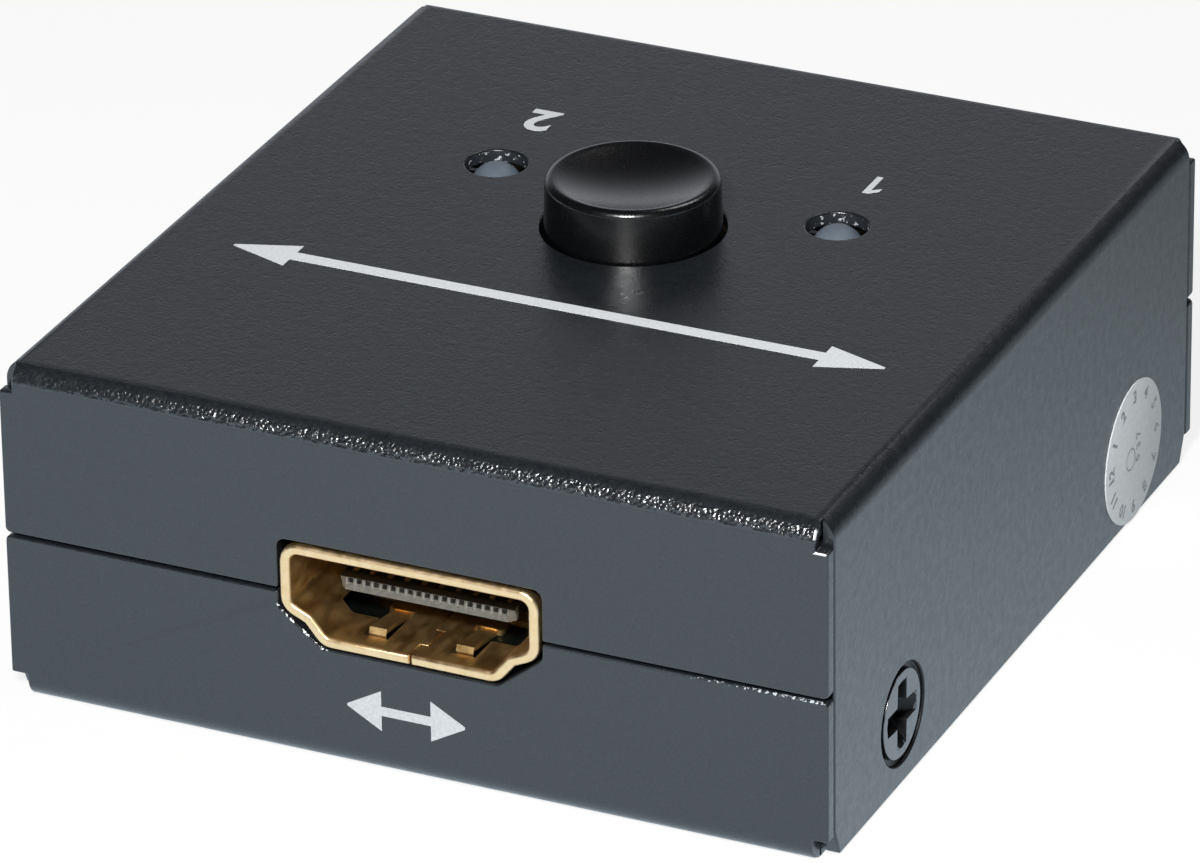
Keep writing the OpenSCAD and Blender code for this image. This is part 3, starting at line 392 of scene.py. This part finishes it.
# coat chipped off a cut edge: dark film with bright specks, near-white painted glints that stand for the shine of bare
# steel
chipGlints = simple("powder coat, chipped, with painted glints", "0c0d0f", "f2f4f5", 0.3, 0.26, 0.03, 0.4, change=(0.54, 0.6))
# a hole's wall: coat drawn a lighter grey than the flats and flecked with a few bright specks, painted glints
holeWallGlints = simple("powder coat in a hole, with painted glints", "33383d", "e6e9eb", 0.4, 0.3, 0.02, 0.2, change=(0.6, 0.65))
# painted glints along the seam: small pale dots, more of them towards the right
seamGlints = simple("powder coat, painted glints along an edge", "2f3439", "ccd1d5", 0.4, 0.17, 0.012, 0.2,
                  change=(0.62, 0.7), along={"x": (12, 23.4), "more": (-0.08, 0.15)})
# painted glint on a corner: a plain bright patch
glintPatch = simple("painted glint, bright grey", "c8cccf", "e6e8ea", 0.35, 0.3, 0.004, 0.2)
# thin gold over nickel on stamped brass: pale warm mirror with faint draw lines
goldPlate = simple("gold plate on stamped brass", "eac896", "f4d6ac", 0.4, 0.5, 0.003, 1.0, (1, 0.15, 1))
# the same plate inside a port, drawn as a deeper, more saturated mottled gold: painted shade
goldShaded = simple("gold plate, painted shade inside", "e6be7c", "f2d296", 0.4, 0.6, 0.006, 1.0, (1, 0.4, 1))
# liquid crystal polymer drawn brown-black with a soft gloss: painted shade on the insulator's top, its pocket floors
# and all of it behind the front bar
lcpShade = simple("LCP, painted shade", "0e0a07", "17110c", 0.4, 0.2, 0.003)
# glass-filled liquid crystal polymer: dull grey with a fine grain
lcpPlastic = simple("glass-filled LCP, moulded", "55544f", "6c6b65", 0.5, 0.15, 0.004)
# black zinc plate on steel: dark grey mirror, softened by the plating
blackZinc = simple("black zinc plate on steel", "58575a", "6e6c6e", 0.22, 0.3, 0.002, 1.0)
# painted shade in the screws' cross recesses and the cover's screw sinks: dead black with a faint metal sheen
recessShade = simple("painted shade, black in recesses", "040404", "0b0b0c", 0.45, 0.3, 0.002, 0.3)
# uncoated label paper: dull white, a little fibrous
sealPaper = simple("label paper, uncoated", "d4dbdf", "e2e8eb", 0.8, 0.25, 0.004)
# pad-printed ink: matt white film; the copy on the front is greyer, painted shade against the stronger light there
printInk = simple("pad-print ink, white", "dfe3e5", "eceff0", 0.6, 0.2, 0.002)
frontInkShaded = simple("pad-print ink, greyed as painted shade", "b2b7ba", "c4c8cc", 0.6, 0.2, 0.002)
# stamp ink on paper: thin and uneven grey
stampInk = simple("stamp ink, faded grey", "878e94", "a9afb4", 0.7, 0.3)
# diffused epoxy of an unlit lamp: milky and softly glossy, drawn cool grey as painted shade for its place down in the
# hole
lampEpoxy = simple("diffused epoxy, cast", "5d6975", "6a747f", 0.5, 0.8, 0.001)
# moulded ABS with a fine spark-eroded skin: black, satin
buttonAbs = simple("black ABS, satin moulded", "040405", "08090a", 0.24, 0.12, 0.003, Specular_IOR_Level=0.9)
# green solder mask over copper and glass laminate: dull and softly clouded, drawn near black as painted shade, since
# it is seen only through the port's windows
solderMask = simple("green solder mask on glass laminate", "020604", "040a07", 0.55, 1.5, 0.006,
                    Specular_IOR_Level=0.2)
# moulded resin of a chip: dull black with a fine sandy skin
chipResin = simple("moulded epoxy resin, black", "1b1c1d", "262728", 0.6, 0.1, 0.003)
# tin on lead frames: soft bright grey
tinPlate = simple("bright tin plate", "a9adae", "c8cccd", 0.28, 0.3, 0.002, 1.0)
# clear zinc on turned steel: cool grey with a slight cloud
zincSteel = simple("zinc-plated steel", "9ea3a6", "bcc1c4", 0.32, 0.4, 0.003, 1.0)
# sintered ceramic of chip parts: matt tan
ceramic = simple("sintered ceramic", "7b6850", "96836a", 0.55, 0.12, 0.003)
# black nylon: matt, slightly uneven
nylon = simple("black nylon, moulded", "1d1e20", "2a2b2d", 0.5, 0.2, 0.003)
# natural acetal: waxy off-white
acetal = simple("natural acetal, moulded", "d9d6cb", "e8e5dc", 0.4, 0.4, 0.002)
# phosphor bronze strip: warm brown metal with rolling lines
bronze = simple("phosphor bronze, stamped", "a9834d", "c8a468", 0.3, 0.3, 0.002, 1.0, (1, 0.2, 1))
# drawn spring wire: bright grey with drawing marks
springSteel = simple("spring steel wire, drawn", "8d9092", "b2b5b7", 0.25, 0.15, 0.002, 1.0)
print("materials mixed")


def nodeCopy(nodeName):  # the CAD node's mesh, merged into whole faces
    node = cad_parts[nodeName]
    mesh = node.data.copy()
    mesh.transform(node.matrix_world)
    mesh.materials.clear()
    piece = bpy.data.objects.new(nodeName + "_soft", mesh)
    scene.collection.objects.link(piece)
    editAll(piece, "VERT")
    bpy.ops.mesh.remove_doubles(threshold=mergeWithin * mm)
    bpy.ops.mesh.dissolve_limited(angle_limit=math.radians(flatWithin))
    leave()
    return piece


def softCopy(nodeName, rounds, materials=()):  # such a copy with its sharp edges rounded
    piece = nodeCopy(nodeName)
    for material in materials:
        piece.data.materials.append(material)
    sharp = math.radians(sharpFrom)
    edit(piece)
    for r in rounds:
        test = r.get("where", within())
        count = pick(piece, "EDGE", lambda e: len(e.link_faces) == 2 and e.calc_face_angle() > sharp
                     and test(middle(e) / mm))
        bpy.ops.mesh.bevel(offset=r["width"] * mm, offset_type="OFFSET", segments=r["segments"],
                           affect="EDGES", clamp_overlap=False, loop_slide=True, material=r.get("material", -1))
        print("  ", nodeName, "rounded", count, "edges")
    leave()
    smooth(piece)
    useModifier(piece, "WEIGHTED_NORMAL", keep_sharp=True)
    return piece


def paint(obj, index, test):  # gives the faces that pass the test another of the object's materials
    edit(obj, "FACE")
    found = pick(obj, "FACE", lambda f: test(f.calc_center_median() / mm))
    print("  ", obj.name, "painted", found, "faces")
    obj.active_material_index = index
    bpy.ops.object.material_slot_assign()
    leave()


sheetLook = {
    # the slots beside the end bends are too narrow to round
    "edge": {"width": 0.12, "segments": 3,
             "where": lambda p: not (22.7 < abs(p.x) < 23.5 and 23.8 < abs(p.y) < 25.15)},
    "panelCorner": {"width": 0.3, "segments": 3,
                    "where": lambda p: abs(p.x) > 23.9 and 9.7 < p.z < 10.1 and abs(p.y) > 25.15},
    # the chipped cut edge is rounded and carries painted glints
    "chipped": {"width": 0.1, "segments": 3, "material": 1,
                "where": within((-8, -4.2), (-27, -25.9), (6.5, 9.0))},
    "lampAt": (10.3, 7.2), "lampHole": 1.9, "lampHeights": (19.2, 19.9),
    "bendFrom": 25.2, "bendHeights": (19.0, 19.9),
    "screwAt": (16, 4.2), "screwSink": 3.05, "screwDepths": (22.9, 23.98),
    # painted glints on the right end of the front bend and on the notch below it
    "bendEndGlint": within((23.1, 23.245), (-27, -25.6), (19.15, 19.6)),
    "notchGlint": within((23.4, 23.7), (-27, -25.9), (18.4, 18.48)),
    # painted glints along the tray's edge at the seam
    "seamGlintBand": within((8, 23), (-27, -25.87), (9.66, 9.81)),
}


def inLampHole(p):  # on the wall of a lamp's hole
    away = (Vector((abs(p.x), p.y)) - Vector(sheetLook["lampAt"])).length
    return away < sheetLook["lampHole"] and within(z=sheetLook["lampHeights"])(p)


def bySideScrew(p, reach, depths):  # in or round a side screw's hole
    away = (Vector((abs(p.y), p.z)) - Vector(sheetLook["screwAt"])).length
    return away < reach and depths[0] < abs(p.x) < depths[1]


def makeSheets(s):
    cover = softCopy("top_cover", [s["panelCorner"], s["edge"]],
                     [powderCoat, holeWallGlints, bendCoat, recessShade, glintPatch])
    # painted glints on the walls of the lamp holes
    paint(cover, 1, inLampHole)
    paint(cover, 2, lambda p: abs(p.y) > s["bendFrom"] and within(z=s["bendHeights"])(p))
    # painted shade in the cover's screw sinks
    paint(cover, 3, lambda p: bySideScrew(p, s["screwSink"], s["screwDepths"]))
    # painted glints at the end of the front bend and in the notch
    paint(cover, 4, s["bendEndGlint"])
    paint(cover, 4, s["notchGlint"])
    notChipped = {**s["edge"], "where": lambda p: s["edge"]["where"](p) and not s["chipped"]["where"](p)}
    # the tray's chipped cut edge carries painted glints
    tray = softCopy("bottom_tray", [s["panelCorner"], notChipped, s["chipped"]], [powderCoat, chipGlints, seamGlints])
    # painted glints along the seam
    paint(tray, 2, s["seamGlintBand"])
    edit(tray, "VERT")
    pick(tray, "VERT", lambda v: v.co.z < 0)  # nothing reaches below the table
    bpy.ops.transform.resize(value=(1, 1, 0), center_override=(0, 0, 0))
    leave()
    return cover, tray


cover, tray = makeSheets(sheetLook)
settle(cover, "coverSheet", powderCoat, nodes=["top_cover"])
settle(tray, "traySheet", powderCoat, nodes=["bottom_tray"])
print("sheets softened")

screwLook = {"edge": {"width": 0.05, "segments": 2}, "recess": 1.9, "recessDepths": (22.7, 23.93)}
screws = softCopy("case_screws", [screwLook["edge"]], [blackZinc, recessShade])
# painted shade in the cross recesses
paint(screws, 1, lambda p: bySideScrew(p, screwLook["recess"], screwLook["recessDepths"]))
settle(screws, "sideScrews", blackZinc, nodes=["case_screws"])
print("screws softened")

portLook = {
    "mouthY": 26.05, "rim": 0.2, "seamEdge": 0.04, "seamAt": within((-0.7, 0.7), (-25.8, -17), (7.55, 7.65)),
    # the bar along the front of the tongue, with a pocket for each contact
    "barWidth": 10.2, "barFront": -23.9, "barDepth": 0.6, "barBottom": 9.52, "barHeight": 0.83,
    "pockets": 19, "pitch": 0.5, "chamfer": 0.55, "endSlope": 0.35,
    "pocketRim": 0.075, "pocketRise": 0.06, "pocketDepth": 0.25, "pocketWay": (0.38, 0.92),
}


def makeBar(t):
    bar = added(bpy.ops.mesh.primitive_cube_add, size=1)
    top, front = t["barBottom"] + t["barHeight"], t["barFront"]
    firstX = -(t["pockets"] - 1) / 2 * t["pitch"]
    editAll(bar)
    bpy.ops.transform.resize(value=(t["pitch"] * mm, t["barDepth"] * mm, t["barHeight"] * mm))
    bpy.ops.transform.translate(value=(firstX * mm, (front + t["barDepth"] / 2) * mm,
                                       (t["barBottom"] + t["barHeight"] / 2) * mm))
    pick(bar, "FACE", lambda f: abs(f.normal.x) > 0.9)
    bpy.ops.mesh.delete(type="FACE")
    pick(bar, "EDGE", lambda e: all(v.co.y < (front + near) * mm and v.co.z > (top - near) * mm for v in e.verts))
    bpy.ops.mesh.bevel(offset=t["chamfer"] * mm, segments=2, affect="EDGES")
    for material in (lcpPlastic, lcpShade):
        bar.data.materials.append(material)
    # painted shade: the bar's top and the pocket floors get the dark copy
    bar.active_material_index = 1  # the top and the floor of each pocket are dark
    pick(bar, "FACE", lambda f: f.normal.z > 0.7)
    bpy.ops.object.material_slot_assign()
    pick(bar, "FACE", lambda f: f.normal.y < -0.7 and 0.2 < f.normal.z < 0.7)
    bpy.ops.mesh.inset(thickness=t["pocketRim"] * mm)
    back, up = t["pocketWay"]  # the slope of the face that the pockets are in
    bpy.ops.transform.translate(value=(0, back * t["pocketRise"] * mm, up * t["pocketRise"] * mm))
    drawOut(0, up * t["pocketDepth"], -back * t["pocketDepth"])
    bpy.ops.object.material_slot_assign()
    leave()
    useModifier(bar, "ARRAY", count=t["pockets"], use_relative_offset=False, use_constant_offset=True,
                constant_offset_displace=(t["pitch"] * mm, 0, 0), use_merge_vertices=True, merge_threshold=1e-6)
    rest = (t["barWidth"] - t["pockets"] * t["pitch"]) / 2
    edit(bar)
    for side in (-1, 1):
        endX = side * t["pockets"] * t["pitch"] / 2
        pick(bar, "EDGE", lambda e: all(abs(v.co.x / mm - endX) < near for v in e.verts))
        drawOut(side * rest, 0, 0)
        bpy.ops.mesh.edge_face_add()
        tip = endX + side * rest
        pick(bar, "VERT", lambda v: abs(v.co.x / mm - tip) < near and v.co.y < (front + near) * mm)
        bpy.ops.transform.translate(value=(0, t["endSlope"] * mm, 0))
    leave()
    return bar


def makePort(t):
    shell = softCopy("front_port_shell", [
        {"width": t["rim"], "segments": 3, "where": lambda p: abs(p.y) > t["mouthY"]},
        {"width": t["seamEdge"], "segments": 2, "where": t["seamAt"]},
    ], [goldPlate, goldShaded])
    # painted shade: inside the port the shell gets the deeper gold copy
    paint(shell, 1, lambda p: abs(p.y) < t["mouthY"] - t["rim"])
    tongue = nodeCopy("front_port_insulator")
    cutY = (t["barFront"] + t["barDepth"]) * mm
    editAll(tongue, "VERT")
    bpy.ops.mesh.bisect(plane_co=(0, cutY, 0), plane_no=(0, 1, 0), use_fill=True, clear_inner=True)
    leave()
    # painted shade: the insulator behind the bar gets the dark copy
    tongue.data.materials.append(lcpShade)
    tongue = joined([makeBar(t), tongue])
    normalsOut(tongue)
    smooth(tongue)
    return shell, tongue


shell, tongue = makePort(portLook)
for name, short in (("rear_port_1", "rearPort1"), ("rear_port_2", "rearPort2")):
    low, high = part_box(name + "_shell")
    turn = Matrix.Translation(((low[0] + high[0]) / 2, 0, 0)) @ Matrix.Rotation(math.pi, 4, "Z")
    settle(copied(shell, turn), short + "Shell", goldPlate, nodes=[name + "_shell"])
    settle(copied(tongue, turn), short + "Insulator", lcpPlastic, nodes=[name + "_insulator"])
settle(shell, "frontPortShell", goldPlate, nodes=["front_port_shell"])
settle(tongue, "frontPortInsulator", lcpPlastic, nodes=["front_port_insulator"])
print("ports built")


def lathe(profile, sides):  # a ring drawn along the profile of radius and height, round Z
    radius, height = profile[0]
    obj = added(bpy.ops.mesh.primitive_circle_add, vertices=sides, radius=radius * mm, location=(0, 0, height * mm))
    takeUp(obj)
    bpy.ops.object.transform_apply(location=True)
    editAll(obj, "EDGE")
    bpy.ops.mesh.edge_face_add()
    bpy.ops.mesh.select_mode(type="FACE")
    for nextRadius, nextHeight in profile[1:]:
        drawOut(0, 0, nextHeight - height)
        share = nextRadius / radius
        bpy.ops.transform.resize(value=(share, share, 1), center_override=(0, 0, nextHeight * mm))
        radius, height = nextRadius, nextHeight
    bpy.ops.mesh.poke()
    leave()
    normalsOut(obj)
    return obj


def arc(centre, radius, start, end, steps):  # points of a profile, from angle to angle in degrees
    angles = [math.radians(start + (end - start) * i / steps) for i in range(steps + 1)]
    return [(centre[0] + radius * math.cos(a), centre[1] + radius * math.sin(a)) for a in angles]


buttonLook = {
    "at": (0, 2.9), "bottom": 17.72, "top": 23, "bottomRadius": 5, "topRadius": 4.85, "sides": 96,
    "edge": 0.42, "edgeArc": (4, 86), "edgeSteps": 6,
    "dishRadius": 4.38, "dishDepth": 0.7, "dishSteps": 14, "pole": 0.6,  # closed so many degrees from the pole
    "wallRadius": 3.85, "roof": 21.3, "bossRadius": 3.4, "socketRadius": 2.45, "socketRoof": 21.45, "lip": 0.15,
}


def makeButton(b):
    ball = (b["dishRadius"] ** 2 + b["dishDepth"] ** 2) / (2 * b["dishDepth"])
    spread = math.degrees(math.asin(b["dishRadius"] / ball))
    dish = arc((0, b["top"] - b["dishDepth"] + ball), ball, -90 + spread, -90 + b["pole"], b["dishSteps"])
    edge = arc((b["topRadius"] - b["edge"], b["top"] - b["edge"]), b["edge"], *b["edgeArc"], b["edgeSteps"])
    low, lip = b["bottom"], b["lip"]
    profile = [
        (b["socketRadius"], b["socketRoof"]), (b["socketRadius"], low + 2 * lip), (b["socketRadius"] + lip, low + lip),
        (b["bossRadius"] - lip, low + lip), (b["bossRadius"], low + 2 * lip), (b["bossRadius"], b["roof"]),
        (b["wallRadius"], b["roof"]), (b["wallRadius"], low + lip), (b["wallRadius"] + lip, low),
        (b["bottomRadius"] - lip, low), (b["bottomRadius"], low + lip),
    ] + edge + dish
    button = lathe(profile, b["sides"])
    smooth(button, 35)
    button.location = (b["at"][0] * mm, b["at"][1] * mm, 0)
    return button


settle(makeButton(buttonLook), "pushButton", buttonAbs, "button", ["button_cap"])
print("button turned")

lampLook = {"bottom": 14.7, "flange": 1.0, "flangeRadius": 1.9, "radius": 1.5, "top": 20.0, "soft": 0.1,
            "sides": 48, "domeArc": (0, 88), "domeSteps": 14}


def makeLamp(look):
    soft, low, step = look["soft"], look["bottom"], look["bottom"] + look["flange"]
    dome = arc((0, look["top"] - look["radius"]), look["radius"], *look["domeArc"], look["domeSteps"])
    profile = [
        (look["flangeRadius"] - soft, low), (look["flangeRadius"], low + soft), (look["flangeRadius"], step - soft),
        (look["flangeRadius"] - soft, step), (look["radius"] + soft, step), (look["radius"], step + soft),
    ] + dome
    lamp = lathe(profile, look["sides"])
    smooth(lamp, 35)
    return lamp


lamp = makeLamp(lampLook)
for name in ("lamp_1", "lamp_2"):
    low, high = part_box(name)
    place = Matrix.Translation(((low[0] + high[0]) / 2, (low[1] + high[1]) / 2, 0))
    # the domes carry painted shade: their epoxy is drawn darker for the hole
    settle(copied(lamp, place), name.replace("_", "") + "Dome", lampEpoxy, nodes=[name])
bpy.data.objects.remove(lamp)
print("lamps turned")

springLook = {"radius": 0.95, "wire": 0.3, "wireSides": 12, "turns": 9, "turnSteps": 32, "bottom": 8.48, "rise": 7.64,
              "at": (0, 2.9), "seat": 8.3, "keep": 0.75}


def makeSpring(s):
    spring = added(bpy.ops.mesh.primitive_circle_add, vertices=s["wireSides"], radius=s["wire"] / 2 * mm,
                   rotation=(quarter, 0, 0), location=(s["radius"] * mm, 0, s["bottom"] * mm))
    takeUp(spring)
    bpy.ops.object.transform_apply(location=True, rotation=True)
    useModifier(spring, "SCREW", axis="Z", angle=2 * math.pi, iterations=s["turns"], steps=s["turnSteps"],
                render_steps=s["turnSteps"], screw_offset=s["rise"] / s["turns"] * mm, use_normal_calculate=True)
    edit(spring)
    bpy.ops.mesh.select_non_manifold()
    bpy.ops.mesh.edge_face_add()
    if pick(spring, "EDGE", lambda e: e.is_boundary):
        bpy.ops.mesh.fill()
    leave()
    normalsOut(spring)
    smooth(spring, 60)
    spring.location = (s["at"][0] * mm, s["at"][1] * mm, 0)
    return spring


spring = settle(makeSpring(springLook), "returnSpringWire", springSteel, nodes=["return_spring"])
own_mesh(spring)
print("spring wound")

sealLook = {
    "x": 24.0, "y": 16.95, "z": 4.35, "radius": 4.2, "sides": 128,
    "edge": 0.075, "thick": 0.085, "slope": 0.03, "top": 24.099,
    # the numbers 1 to 12 stand round the rim, and three more beside a ring in the middle
    "numbers": 12, "numberAt": 3.4, "numberHeight": 0.8, "numberWeight": 0.04, "firstAngle": 150,
    "column": (("7", 0.62, 0.8), ("3", 0.62, 0.1), ("5", 0.55, -0.65)), "columnHeight": 0.64, "columnWeight": 0.03,
    "ring": 0.58, "ringWidth": 0.1, "ringAt": (-0.5, -0.27), "ringSides": 32,
}


def makeText(body, height, weight, thick):  # a flat number, its middle at the origin, reading along X
    text = added(bpy.ops.object.text_add)
    text.data.body = body
    text.data.size = 1
    text.data.resolution_u = 4
    text.data.offset = weight / height * 0.7  # a number is about 0.7 of the font's size
    text.data.extrude = 0.5
    bpy.ops.object.convert(target="MESH")
    text = bpy.context.object
    editAll(text, "VERT")
    bpy.ops.mesh.remove_doubles(threshold=0.0001)
    xs, ys = ([v.co[k] for v in bmesh.from_edit_mesh(text.data).verts] for k in (0, 1))
    bpy.ops.transform.translate(value=(-(max(xs) + min(xs)) / 2, -(max(ys) + min(ys)) / 2, 0.5))
    size = height / (max(ys) - min(ys)) * mm
    bpy.ops.transform.resize(value=(size, size, thick * mm), center_override=(0, 0, 0))
    leave()
    return text


def makeSeal(s):
    disc = added(bpy.ops.mesh.primitive_cylinder_add, vertices=s["sides"], radius=s["radius"] * mm,
                 depth=s["edge"] * mm, location=(0, 0, s["edge"] / 2 * mm))
    takeUp(disc)
    bpy.ops.object.transform_apply(location=True)
    edit(disc, "FACE")
    pick(disc, "FACE", lambda f: f.normal.z > 0.9)
    bpy.ops.mesh.inset(thickness=s["slope"] * mm)
    bpy.ops.transform.translate(value=(0, 0, (s["thick"] - s["edge"]) * mm))
    leave()
    smooth(disc, 40)
    thick = s["top"] - s["x"] - s["thick"]
    marks = []
    for i in range(s["numbers"]):
        mark = makeText(str(i + 1), s["numberHeight"], s["numberWeight"], thick)
        angle = math.radians(s["firstAngle"] - 360 / s["numbers"] * i)
        mark.location = (s["numberAt"] * mm * math.cos(angle), s["numberAt"] * mm * math.sin(angle), s["thick"] * mm)
        mark.rotation_euler = (0, 0, angle - quarter)
        marks.append(mark)
    for body, across, up in s["column"]:
        mark = makeText(body, s["columnHeight"], s["columnWeight"], thick)
        mark.location = (across * mm, up * mm, s["thick"] * mm)
        mark.rotation_euler = (0, 0, quarter)
        marks.append(mark)
    ring = added(bpy.ops.mesh.primitive_circle_add, vertices=s["ringSides"], radius=s["ring"] * mm,
                 location=(s["ringAt"][0] * mm, s["ringAt"][1] * mm, s["thick"] * mm))
    editAll(ring, "EDGE")
    share = 1 + s["ringWidth"] / s["ring"]
    bpy.ops.mesh.extrude_region_move()
    bpy.ops.transform.resize(value=(share, share, 1))
    bpy.ops.mesh.select_all(action="SELECT")
    drawOut(0, 0, thick)
    leave()
    marks.append(ring)
    for mark in marks:
        takeUp(mark)
        bpy.ops.object.transform_apply(location=True, rotation=True, scale=True)
    marks = joined(marks)
    normalsOut(marks)
    for obj in (disc, marks):
        obj.rotation_euler = (quarter, 0, quarter)
        obj.location = (s["x"] * mm, s["y"] * mm, s["z"] * mm)
    return disc, marks


disc, marks = makeSeal(sealLook)
settle(disc, "paperSeal", sealPaper, nodes=["screw_seal"])
settle(marks, "sealNumbers", stampInk)
print("seal stuck on")

printLook = {
    "thick": 0.02, "topZ": 20.0, "frontY": -26.0, "rearY": 26.0,
    "numbers": [
        {"name": "lampNumber1", "body": "1", "height": 2.2, "stroke": 0.36, "place": (10.05, 12.72), "face": "top"},
        {"name": "lampNumber2", "body": "2", "height": 2.7, "weight": 0.1, "place": (-10.4, 13.2), "face": "top"},
        {"name": "portNumber1", "body": "1", "height": 2.4, "stroke": 0.36, "place": (11.0, 3.85), "face": "rear"},
        {"name": "portNumber2", "body": "2", "height": 2.4, "weight": 0.08, "place": (-11.0, 3.85), "face": "rear"},
    ],
    # a 1 has a flag drawn out of its upper end
    "flagFrom": 1.15, "flagOut": (-0.5, -0.42), "flagEnd": 0.85,
    "arrows": [
        {"name": "topArrow", "length": 38.5, "shaft": 0.9, "head": 3.6, "width": 2.6,
         "place": (0.25, -7.9), "face": "top"},
        {"name": "frontArrow", "length": 6.9, "shaft": 0.55, "head": 2.0, "width": 2.4,
         "place": (-0.3, 3.85), "face": "front"},
    ],
    "arrowTip": 0.06,
}


def onFace(obj, face, place):  # lays a flat mark on a face of the case
    across, along = place
    turn, at = {
        "top": ((0, 0, math.pi), (across, along, printLook["topZ"])),
        "front": ((quarter, 0, 0), (across, printLook["frontY"], along)),
        "rear": ((quarter, 0, math.pi), (across, printLook["rearY"], along)),
    }[face]
    obj.rotation_euler = turn
    obj.location = Vector(at) * mm


def makeOne(n, look):  # the number 1, a stem with a flag
    one = added(bpy.ops.mesh.primitive_plane_add, size=1)
    top, side = n["height"] / 2, n["stroke"] / 2
    editAll(one)
    bpy.ops.transform.resize(value=(2 * side * mm, 2 * top * mm, 1))
    bpy.ops.mesh.bisect(plane_co=(0, (top - look["flagFrom"] * n["stroke"]) * mm, 0), plane_no=(0, 1, 0))
    pick(one, "EDGE", lambda e: abs(middle(e).x / mm + side) < near and middle(e).y / mm > top - n["stroke"])
    drawOut(*look["flagOut"], 0)
    bpy.ops.transform.resize(value=(1, look["flagEnd"], 1))
    bpy.ops.mesh.select_mode(type="FACE")
    bpy.ops.mesh.select_all(action="SELECT")
    drawOut(0, 0, look["thick"])
    leave()
    normalsOut(one)
    return one


def makeArrow(a, look):  # two-headed arrow, drawn out of its middle
    arrow = added(bpy.ops.mesh.primitive_plane_add, size=1)
    shaft = a["length"] - 2 * a["head"]
    editAll(arrow)
    bpy.ops.transform.resize(value=(shaft * mm, a["shaft"] * mm, 1))
    for side in (-1, 1):
        end = side * shaft / 2
        pick(arrow, "EDGE", lambda e: all(abs(v.co.x / mm - end) < near for v in e.verts))
        bpy.ops.mesh.extrude_region_move()
        bpy.ops.transform.resize(value=(1, a["width"] / a["shaft"], 1))
        drawOut(side * a["head"], 0, 0)
        bpy.ops.transform.resize(value=(1, look["arrowTip"], 1))
    bpy.ops.mesh.select_mode(type="FACE")
    bpy.ops.mesh.select_all(action="SELECT")
    drawOut(0, 0, look["thick"])
    leave()
    normalsOut(arrow)
    return arrow


for n in printLook["numbers"]:
    if n["body"] == "1":
        number = makeOne(n, printLook)
    else:
        number = makeText(n["body"], n["height"], n["weight"], printLook["thick"])
    onFace(number, n["face"], n["place"])
    settle(number, n["name"], printInk)
for a in printLook["arrows"]:
    arrow = makeArrow(a, printLook)
    onFace(arrow, a["face"], a["place"])
    # painted shade: the front arrow gets the greyer copy of the ink
    settle(arrow, a["name"], frontInkShaded if a["face"] == "front" else printInk)
print("marks printed")

keptFinishes = {
    # the circuit board's mask is drawn near black: painted shade
    "board_standoffs": zincSteel, "board_screws": zincSteel, "circuit_board": solderMask,
    "front_port_contacts": goldPlate, "rear_port_1_contacts": goldPlate, "rear_port_2_contacts": goldPlate,
    "switching_chip": chipResin, "chip_leads": tinPlate, "chip_parts": ceramic,
    "lamp_1_leads": tinPlate, "lamp_2_leads": tinPlate, "lamp_1_spacer": nylon, "lamp_2_spacer": nylon,
    "switch_base": nylon, "switch_housing": nylon, "switch_terminals": bronze, "switch_plunger": acetal,
    "moving_contacts": bronze, "latch_pin": springSteel, "latch_clip": springSteel,
}
for nodeName, finish in keptFinishes.items():
    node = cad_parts[nodeName]
    node.data.materials.clear()
    node.data.materials.append(finish)
print("inner parts finished")
